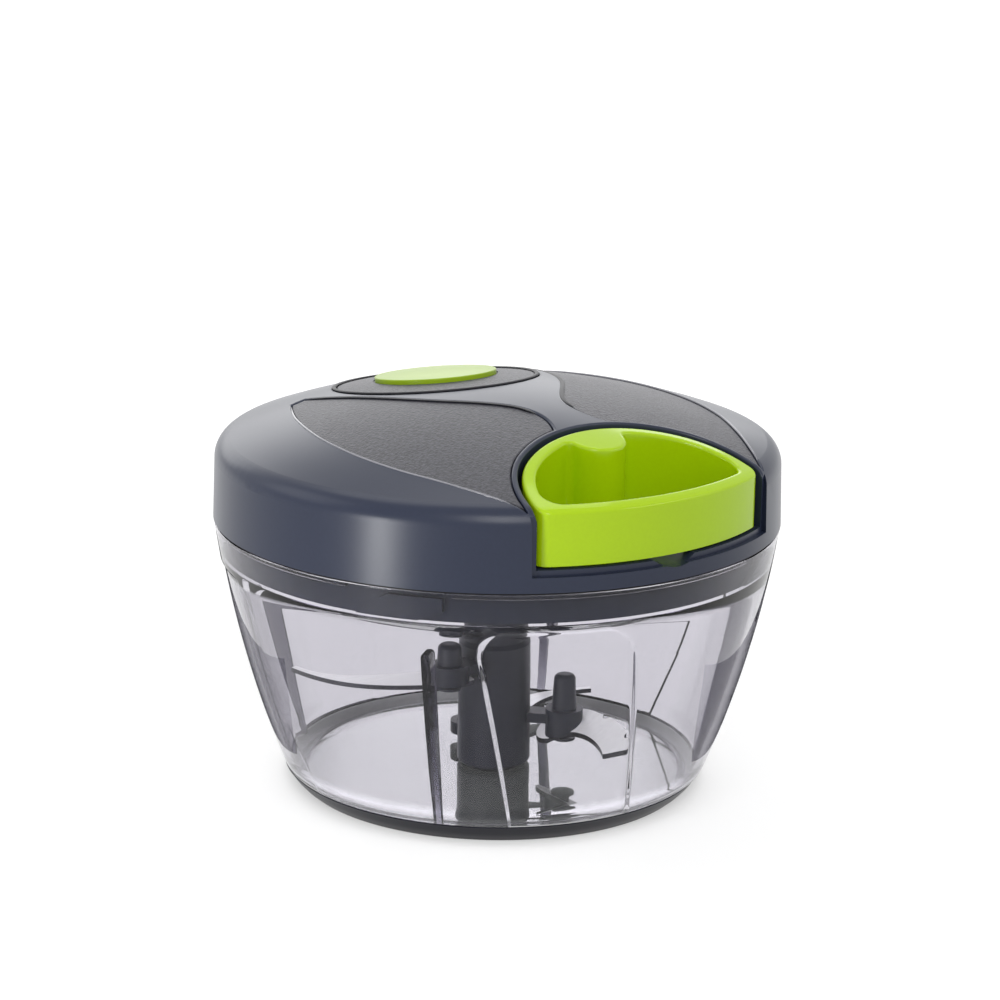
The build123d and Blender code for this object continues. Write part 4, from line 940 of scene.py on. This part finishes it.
@dataclass
class FootRing:
    """Soft ring round the bowl's foot, with the narrow foot on which the bowl stands, in millimetres.

    The bed is the side on which the bowl rests. It is painted paler than the rest of the ring, as painted
    light where it is seen through the clear foot.
    """

    foot_radius: float = 43.4
    foot_width: float = 1.9
    outside: tuple[Pair, ...] = ((44.5, 1.0), (45.15, 1.7), (45.8, 2.4), (46.45, 3.4))
    top: Pair = (47.0, 4.32)
    top_bevel: float = 0.2
    bed: tuple[Pair, ...] = ((45.42, 3.5), (44.72, 2.48), (43.85, 1.53), (42.62, 0.92))
    bed_width: float = 1.17
    bed_rise: float = 0.05
    bed_lean: float = 0.2
    sole_z: float = 1.0

    def profile(self) -> list[Pair]:
        """Outline of the ring, outwards from the foot, up the outside and back down the bed."""
        foot, inner, (top, top_z) = self.foot_radius, self.foot_radius - self.foot_width, self.top
        sole = [(foot - 0.25, 0.0), (foot - 0.05, 0.05), (foot + 0.25, 0.35)]
        lip = [(top, top_z - self.top_bevel), (top - self.top_bevel, top_z), (top - self.bed_width, top_z)]
        inside = [(inner, 0.9), (inner - 0.1, 0.6), (inner, 0.1), (inner + 0.15, 0.0)]
        return sole + [*self.outside] + lip + [*self.bed] + inside

    def build(self) -> None:
        """Build the ring in place of the plain one."""
        ring = make_piece("foot_ring", revolved(self.profile(), steps=180), "bowl", SOFT_RING, crease=40.0)
        # The bed gets a paler copy of the rubber, as painted light seen through the clear foot.
        ring.data.materials.append(RING_BED_PAINTED_LIGHT.material())
        for face in ring.data.polygons:
            outwards = Vector((face.center.x, face.center.y, 0.0)).normalized()
            above_sole = face.normal.z > self.bed_rise or face.center.z > self.sole_z * MM
            if face.normal.dot(outwards) < self.bed_lean and above_sole:
                face.material_index = 1
        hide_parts("base_ring")


@dataclass
class GroundBlades:
    """Blades with bright faces and darker ground edges."""

    names: tuple[str, ...] = BLADES
    face_match: float = 0.7

    def build(self) -> None:
        """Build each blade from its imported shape."""
        for name in self.names:
            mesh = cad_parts[name].data.copy()
            mesh.name = f"{name}_ground"
            piece = link_object(f"{name}_ground", mesh)
            broad = self.main_direction(mesh)
            mesh.materials.clear()
            mesh.materials.append(BLADE_STEEL.material())
            mesh.materials.append(BLADE_EDGE.material())
            for face in mesh.polygons:
                face.material_index = 0 if abs(face.normal.dot(broad)) > self.face_match else 1
            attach(piece, "blades")
            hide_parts(name)
            LOG.info("%s: %d faces", piece.name, len(mesh.polygons))

    @staticmethod
    def main_direction(mesh: bpy.types.Mesh) -> Vector:
        """Find the direction that most of a blade's area faces.

        Args:
            mesh: Mesh of the blade.

        Returns:
            The direction.
        """
        totals: dict[tuple[float, ...], float] = {}
        for face in mesh.polygons:
            key = tuple(round(part, 1) for part in face.normal)
            totals[key] = totals.get(key, 0.0) + face.area
        return Vector(max(totals, key=lambda key: totals[key])).normalized()


@dataclass(frozen=True)
class Bead:
    """Oval bead along a line on the lid: half its width and height, its lift, and its shift from the axis."""

    half_width: float
    half_height: float
    lift: float
    shift: float = 0.0


@dataclass
class LidLines:
    """Lips along the grip pads' outer edges, lighter in colour as a painted highlight, and dark beads in the
    grooves beside pads and disc as painted shade, in millimetres.

    The lines beside the pads run through marks, given in shares of the lid's radius towards the handle and
    sideways.
    """

    edge_radius: float = 62.5
    dome_radius: float = 167.6
    dome_z: float = 89.2
    shoulder_radius: float = 57.4
    shoulder_bend: float = 0.11
    disc_centre: float = 23.9
    disc_radius: float = 22.75
    lip: Bead = Bead(0.26, 0.26, -0.1, 0.42)
    pad_painted_shade: Bead = Bead(0.5, 0.13, -0.06, 0.12)
    disc_painted_shade: Bead = Bead(0.5, 0.3, 0.05)
    outer: tuple[Pair, ...] = (
        (0.836, 0.49), (0.68, 0.565), (0.535, 0.63), (0.37, 0.69),
        (0.165, 0.722), (-0.066, 0.707), (-0.32, 0.63), (-0.53, 0.515),
    )
    inner: tuple[Pair, ...] = (
        (-0.545, 0.452), (-0.35, 0.408), (-0.16, 0.352), (0.01, 0.268),
        (0.165, 0.147), (0.25, 0.094), (0.34, 0.079),
    )
    steps: int = 16
    disc_steps: int = 120

    def build(self) -> None:
        """Build the lips, whose lighter colour is a painted highlight, and the dark beads of painted shade in
        the grooves.
        """
        for name, side in (("left", -1.0), ("right", 1.0)):
            # The lips' lighter finish is a painted highlight; the grooves' near-black finish is painted
            # shade.
            for kind, shares, bead, finish, skipped in (
                ("lip", self.outer, self.lip, LIP_PAINTED_HIGHLIGHT, 4),
                ("painted_groove_shade", self.inner, self.pad_painted_shade, GROOVE_PAINTED_SHADE, 0),
            ):
                path = self.drape(self.curve(shares, side, bead.shift), bead.lift)[skipped:-2]
                make_piece(f"pad_{kind}_{name}", self.sweep(path, bead), "lid", finish, crease=60.0)
        # The dark bead round the disc is painted shade in its groove.
        turns = [2 * math.pi * step / self.disc_steps for step in range(self.disc_steps)]
        centre = Vector((0.0, self.disc_centre))
        ring = [Vector((math.sin(turn), -math.cos(turn))) * self.disc_radius + centre for turn in turns]
        path = self.drape(ring, self.disc_painted_shade.lift)
        make_piece("disc_painted_shade", self.sweep(path, self.disc_painted_shade, closed=True), "lid", GROOVE_PAINTED_SHADE, crease=60.0)

    def curve(self, shares: Sequence[Pair], side: float, shift: float) -> list[Vector]:
        """Smooth curve through marks on the lid.

        Args:
            shares: The marks.
            side: -1 for the left pad, 1 for the right one.
            shift: Distance away from the axis.

        Returns:
            Places across the lid.
        """
        marks = [Vector((side * across, -along)) * self.edge_radius for along, across in shares]
        marks = [2 * marks[0] - marks[1], *marks, 2 * marks[-1] - marks[-2]]
        places = []
        for index in range(1, len(marks) - 2):
            before, first, last, after = marks[index - 1 : index + 3]
            bend, twist = 2 * before - 5 * first + 4 * last - after, 3 * (first - last) + after - before
            for step in range(self.steps):
                share = step / self.steps
                spot = first + 0.5 * ((last - before) * share + bend * share**2 + twist * share**3)
                slope = (last - before) + 2 * bend * share + 3 * twist * share**2
                away = Vector((slope.y, -slope.x)).normalized()
                places.append(spot + away * (shift if away.x * side > 0 else -shift))
        return places

    def drape(self, places: Sequence[Vector], lift: float) -> list[Vector]:
        """Lay places on the dome.

        Args:
            places: Places across the lid.
            lift: Height above the dome.

        Returns:
            The places in space.
        """
        laid = []
        for spot in places:
            sink = self.dome_radius - math.sqrt(self.dome_radius**2 - spot.length_squared)
            sink += max(0.0, spot.length - self.shoulder_radius) ** 2 * self.shoulder_bend
            laid.append(Vector((spot.x, spot.y, self.dome_z - sink + lift)))
        return laid

    @staticmethod
    def sweep(path: Sequence[Vector], bead: Bead, closed: bool = False) -> Shell:
        """Sweep a bead along a path. Its open ends run out thinly.

        Args:
            path: Places of its middle.
            bead: Its section.
            closed: True where the path runs into its start.

        Returns:
            The points and the faces.
        """
        points: list[Point] = []
        sides, count, tip, taper = 10, len(path), 0.15, 8
        for index, middle in enumerate(path):
            ahead = path[(index + 1) % count] if closed else path[min(index + 1, count - 1)]
            behind = path[index - 1] if closed else path[max(index - 1, 0)]
            along = (ahead - behind).normalized()
            across = along.cross(UP).normalized()
            above = across.cross(along)
            ease = 1.0 if closed else min(1.0, tip + min(index, count - 1 - index) / taper)
            for side in range(sides):
                turn = 2 * math.pi * side / sides
                shift = across * math.cos(turn) * bead.half_width + above * math.sin(turn) * bead.half_height
                points.append(tuple((middle + shift * ease) * MM))
        return points, tube_faces(count, sides, closed)


@dataclass
class PullCord:
    """Strand between the lid's eyelet and the handle as they stand, in millimetres. On the real chopper the
    cord pays out at a pull.
    """

    radius: float = 0.97
    height: float = 74.0
    start: float = -29.6
    end: float = -30.5
    sides: int = 18
    rings: int = 60
    swell: float = 0.03
    twist: float = 0.9

    def build(self) -> None:
        """Build the strand across the joint."""
        points: list[Point] = []
        for ring in range(self.rings + 1):
            along = self.start + (self.end - self.start) * self.unsmooth(ring / self.rings)
            for side in range(self.sides):
                turn = 2 * math.pi * side / self.sides
                reach = self.radius * (1.0 + self.swell * math.cos(2 * turn + self.twist * ring))
                spot = (reach * math.cos(turn), along, self.height + reach * math.sin(turn))
                points.append(tuple(part * MM for part in spot))
        shell = (points, tube_faces(self.rings + 1, self.sides, closed=False))
        strand = make_piece("cord_strand", shell, "", CORD, crease=60.0)
        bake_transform(strand)

    @staticmethod
    def unsmooth(value: float) -> float:
        """Find the share whose soft step is the value."""
        return 0.5 - math.sin(math.asin(1.0 - 2.0 * value) / 3.0)


@dataclass
class CarriedNodes:
    """CAD nodes that keep their own shape and get a better finish."""

    finishes: Sequence[tuple[Finish, Sequence[str]]]

    def build(self) -> None:
        """Dress each node."""
        for finish, names in self.finishes:
            for name in names:
                dress(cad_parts[name], finish)
                LOG.info("%s: %s", name, finish.name)


@dataclass(frozen=True)
class Lamp:
    """Soft lamp that faces the object: its place, its width and height in metres, and its power in watts."""

    name: str
    spot: Point
    size: Pair
    power: float
    in_gloss: bool = True
    through_clear: bool = False


@dataclass
class Studio:
    """Camera, lamps, floor and backdrop, in metres.

    Two black cards lie on the floor beside the object and are seen in gloss alone, where they draw the edges
    of the clear bowl. floor_far and floor_painted_shadow carry the distance from the middle, between their
    first two values, to a share of the floor's glow, between their last two. The second dims the glow right
    under the object, as a painted shadow.
    """

    target: Point = (0.0, 0.0, 0.04)
    distance: float = 0.7
    azimuth: float = -36.8
    elevation: float = 16.93
    roll: float = 0.9
    lens: float = 113.06
    sensor: float = 36.0
    shift: Pair = (0.00432, 0.10189)
    clip: float = 0.02
    backdrop: Pair = (0.5, 1.0)
    floor_size: float = 8.0
    floor_colour: Colour = (0.5, 0.5, 0.5)
    floor_roughness: float = 0.9
    floor_far: tuple[float, ...] = (0.12, 0.9, 0.55, 0.9)
    floor_painted_shadow: tuple[float, ...] = (0.03, 0.048, 0.1, 1.0)
    card_size: Pair = (0.045, 0.35)
    card_across: float = 0.0775
    card_front: float = 0.012
    card_lift: float = 0.0005
    card_colour: Colour = (0.01, 0.01, 0.015)
    card_roughness: float = 1.0
    lamp_target: Point = (0.0, 0.0, 0.05)
    lamps: tuple[Lamp, ...] = (
        Lamp("key", (-0.5, -0.75, 0.7), (0.35, 0.5), 3.5),
        Lamp("glint", (0.5, -0.65, 0.6), (0.6, 0.06), 1.2),
        Lamp("inside", (0.0, 0.0, 0.0525), (0.085, 0.085), 0.015, in_gloss=False),
        Lamp("side", (0.75, -0.45, 0.45), (0.25, 0.5), 0.2),
        Lamp("shoulder", (-0.75, 0.55, 0.6), (0.6, 0.5), 1.2),
        Lamp("strip", (-0.264, -0.057, 0.045), (0.045, 0.085), 0.24),
        Lamp("back", (0.36, 0.88, 0.4), (1.2, 0.45), 2.6, through_clear=True),
        Lamp("top", (0.1, 0.3, 0.95), (0.8, 0.5), 2.0),
    )

    def build(self) -> None:
        """Build everything round the object."""
        self.build_camera()
        self.build_world()
        self.build_floor()
        self.build_card("flag_left", -self.card_across)
        self.build_card("flag_right", self.card_across)
        for lamp in self.lamps:
            self.build_lamp(lamp)

    def build_camera(self) -> None:
        """Place the camera where the photograph was taken from."""
        turn, rise, roll = (math.radians(angle) for angle in (self.azimuth, self.elevation, self.roll))
        back = Vector((math.cos(rise) * math.sin(turn), -math.cos(rise) * math.cos(turn), math.sin(rise)))
        level = Vector((math.cos(turn), math.sin(turn), 0.0))
        upright = back.cross(level)
        right = level * math.cos(roll) + upright * math.sin(roll)
        up = upright * math.cos(roll) - level * math.sin(roll)
        data = bpy.data.cameras.new("camera")
        data.lens = self.lens
        data.sensor_width = self.sensor
        data.shift_x, data.shift_y = self.shift
        data.clip_start = self.clip
        camera = link_object("camera", data)
        turned = Matrix((right, up, back)).transposed().to_4x4()
        camera.matrix_world = Matrix.Translation(Vector(self.target) + back * self.distance) @ turned
        bpy.context.scene.camera = camera

    @staticmethod
    def seen(tree: Tree) -> Socket:
        """Mask of the rays that meet the background straight, in gloss or through something clear.

        Args:
            tree: Tree to place the nodes in.

        Returns:
            The mask, 0 or 1.
        """
        path = tree.add("ShaderNodeLightPath").outputs
        mask = tree.maths("MAXIMUM", path["Is Camera Ray"], path["Is Glossy Ray"])
        return tree.maths("MAXIMUM", mask, path["Is Transmission Ray"])

    def build_world(self) -> None:
        """Give plain soft light from all round."""
        world = bpy.data.worlds.new("studio")
        world.use_nodes = True
        bpy.context.scene.world = world
        tree = Tree(world.node_tree)
        strength = tree.spread(self.seen(tree), *self.backdrop)
        tree.give(world.node_tree.nodes["Background"], {"Color": WHITE, "Strength": strength})

    def build_floor(self) -> None:
        """Lay the pale floor, which keeps the object's shadow and has a painted shadow right under the
        object, where its glow is dimmed.
        """
        half = self.floor_size / 2
        corners = [(-half, -half, 0.0), (half, -half, 0.0), (half, half, 0.0), (-half, half, 0.0)]
        floor = self.lay_sheet("floor", corners, self.floor_colour, self.floor_roughness)
        tree = Tree(floor.data.materials[0].node_tree)
        reach = tree.add("ShaderNodeVectorMath", {0: tree.here()}, operation="LENGTH").outputs["Value"]
        lit = self.seen(tree)
        # The second range dims the floor's glow right under the object: a painted shadow.
        for first, last, low, high in (self.floor_far, self.floor_painted_shadow):
            values = {"Value": reach, "From Min": first, "From Max": last, "To Min": low, "To Max": high}
            lit = tree.maths("MULTIPLY", lit, tree.add("ShaderNodeMapRange", values).outputs["Result"])
        glow = {"Emission Color": WHITE, "Emission Strength": lit}
        tree.give(tree.tree.nodes["Principled BSDF"], glow)

    def build_card(self, name: str, across: float) -> None:
        """Lay one black card.

        Args:
            name: Name of the card.
            across: Place of its middle to the right of the object, as the camera sees it.
        """
        width, length = self.card_size
        right, away = level_axes(self.azimuth)
        middle = right * across + away * (length / 2 - self.card_front) + UP * self.card_lift
        half, deep = right * width / 2, away * length / 2
        corners = [middle - half - deep, middle + half - deep, middle + half + deep, middle - half + deep]
        spots = [tuple(corner) for corner in corners]
        flag = self.lay_sheet(name, spots, self.card_colour, self.card_roughness)
        flag.visible_camera = False
        flag.visible_diffuse = False
        flag.visible_transmission = False
        flag.visible_shadow = False

    @staticmethod
    def lay_sheet(name: str, corners: Sequence[Point], colour: Colour, roughness: float) -> bpy.types.Object:
        """Lay one flat dull sheet.

        Args:
            name: Name of the sheet.
            corners: Its four corners.
            colour: Its colour.
            roughness: Its roughness.

        Returns:
            The sheet.
        """
        mesh = bpy.data.meshes.new(name)
        mesh.from_pydata(corners, [], [(0, 1, 2, 3)])
        sheet = link_object(name, mesh)
        tree, shader = open_material(name)
        tree.give(shader, {"Base Color": (*colour, 1.0), "Roughness": roughness, "Specular IOR Level": 0.0})
        mesh.materials.append(FINISHED[name])
        return sheet

    def build_lamp(self, lamp: Lamp) -> None:
        """Hang one lamp.

        Args:
            lamp: The lamp.
        """
        data = bpy.data.lights.new(lamp.name, "AREA")
        data.shape = "RECTANGLE"
        data.size, data.size_y = lamp.size
        data.energy = lamp.power
        light = link_object(lamp.name, data)
        light.location = lamp.spot
        light.visible_camera = False
        light.visible_transmission = lamp.through_clear
        light.visible_glossy = lamp.in_gloss
        towards = Vector(self.lamp_target) - Vector(lamp.spot)
        light.rotation_euler = towards.to_track_quat("-Z", "Y").to_euler()


def main() -> None:
    """Build the scene."""
    logging.basicConfig(level=logging.INFO, format="%(name)s: %(message)s")
    bpy.context.scene.view_settings.view_transform = "Standard"
    Studio().build()
    CarriedNodes(
        (
            (CLEAR, ("bowl",)),
            (SOFT_RING, ("base_ring",)),
            (SHAFT, ("blade_shaft", "peg_upper", "peg_middle", "peg_lower")),
            (BLADE_STEEL, BLADES),
            (SEAL, ("lid_seal",)),
            (SLATE_SATIN, ("lid_base",)),
            (SLATE_GLOSS, ("lid_cover",)),
            (SLATE_GRAIN, ("grip_pad_left", "grip_pad_right", "disc_panel")),
            (CAP_GLOSS, ("top_cap",)),
            (LIME_GLOSS, ("pull_handle",)),
            (BRIGHT_STEEL, ("pivot_pin", "lid_screws", "centre_axle", "cord_eyelet", "pawl_pins")),
            (SPRING_STEEL, ("axle_clip", "return_spring")),
            (CORD, ("cord_lead", "cord_end", "wound_cord")),
            (WORKS, ("spring_cap", "spool", "pawl_1", "pawl_2", "pawl_3", "drive_hub")),
        )
    ).build()
    ClearBowl().build()
    FootRing().build()
    GroundBlades().build()
    LidLines().build()
    PullCord().build()


if __name__ == "__main__":
    main()
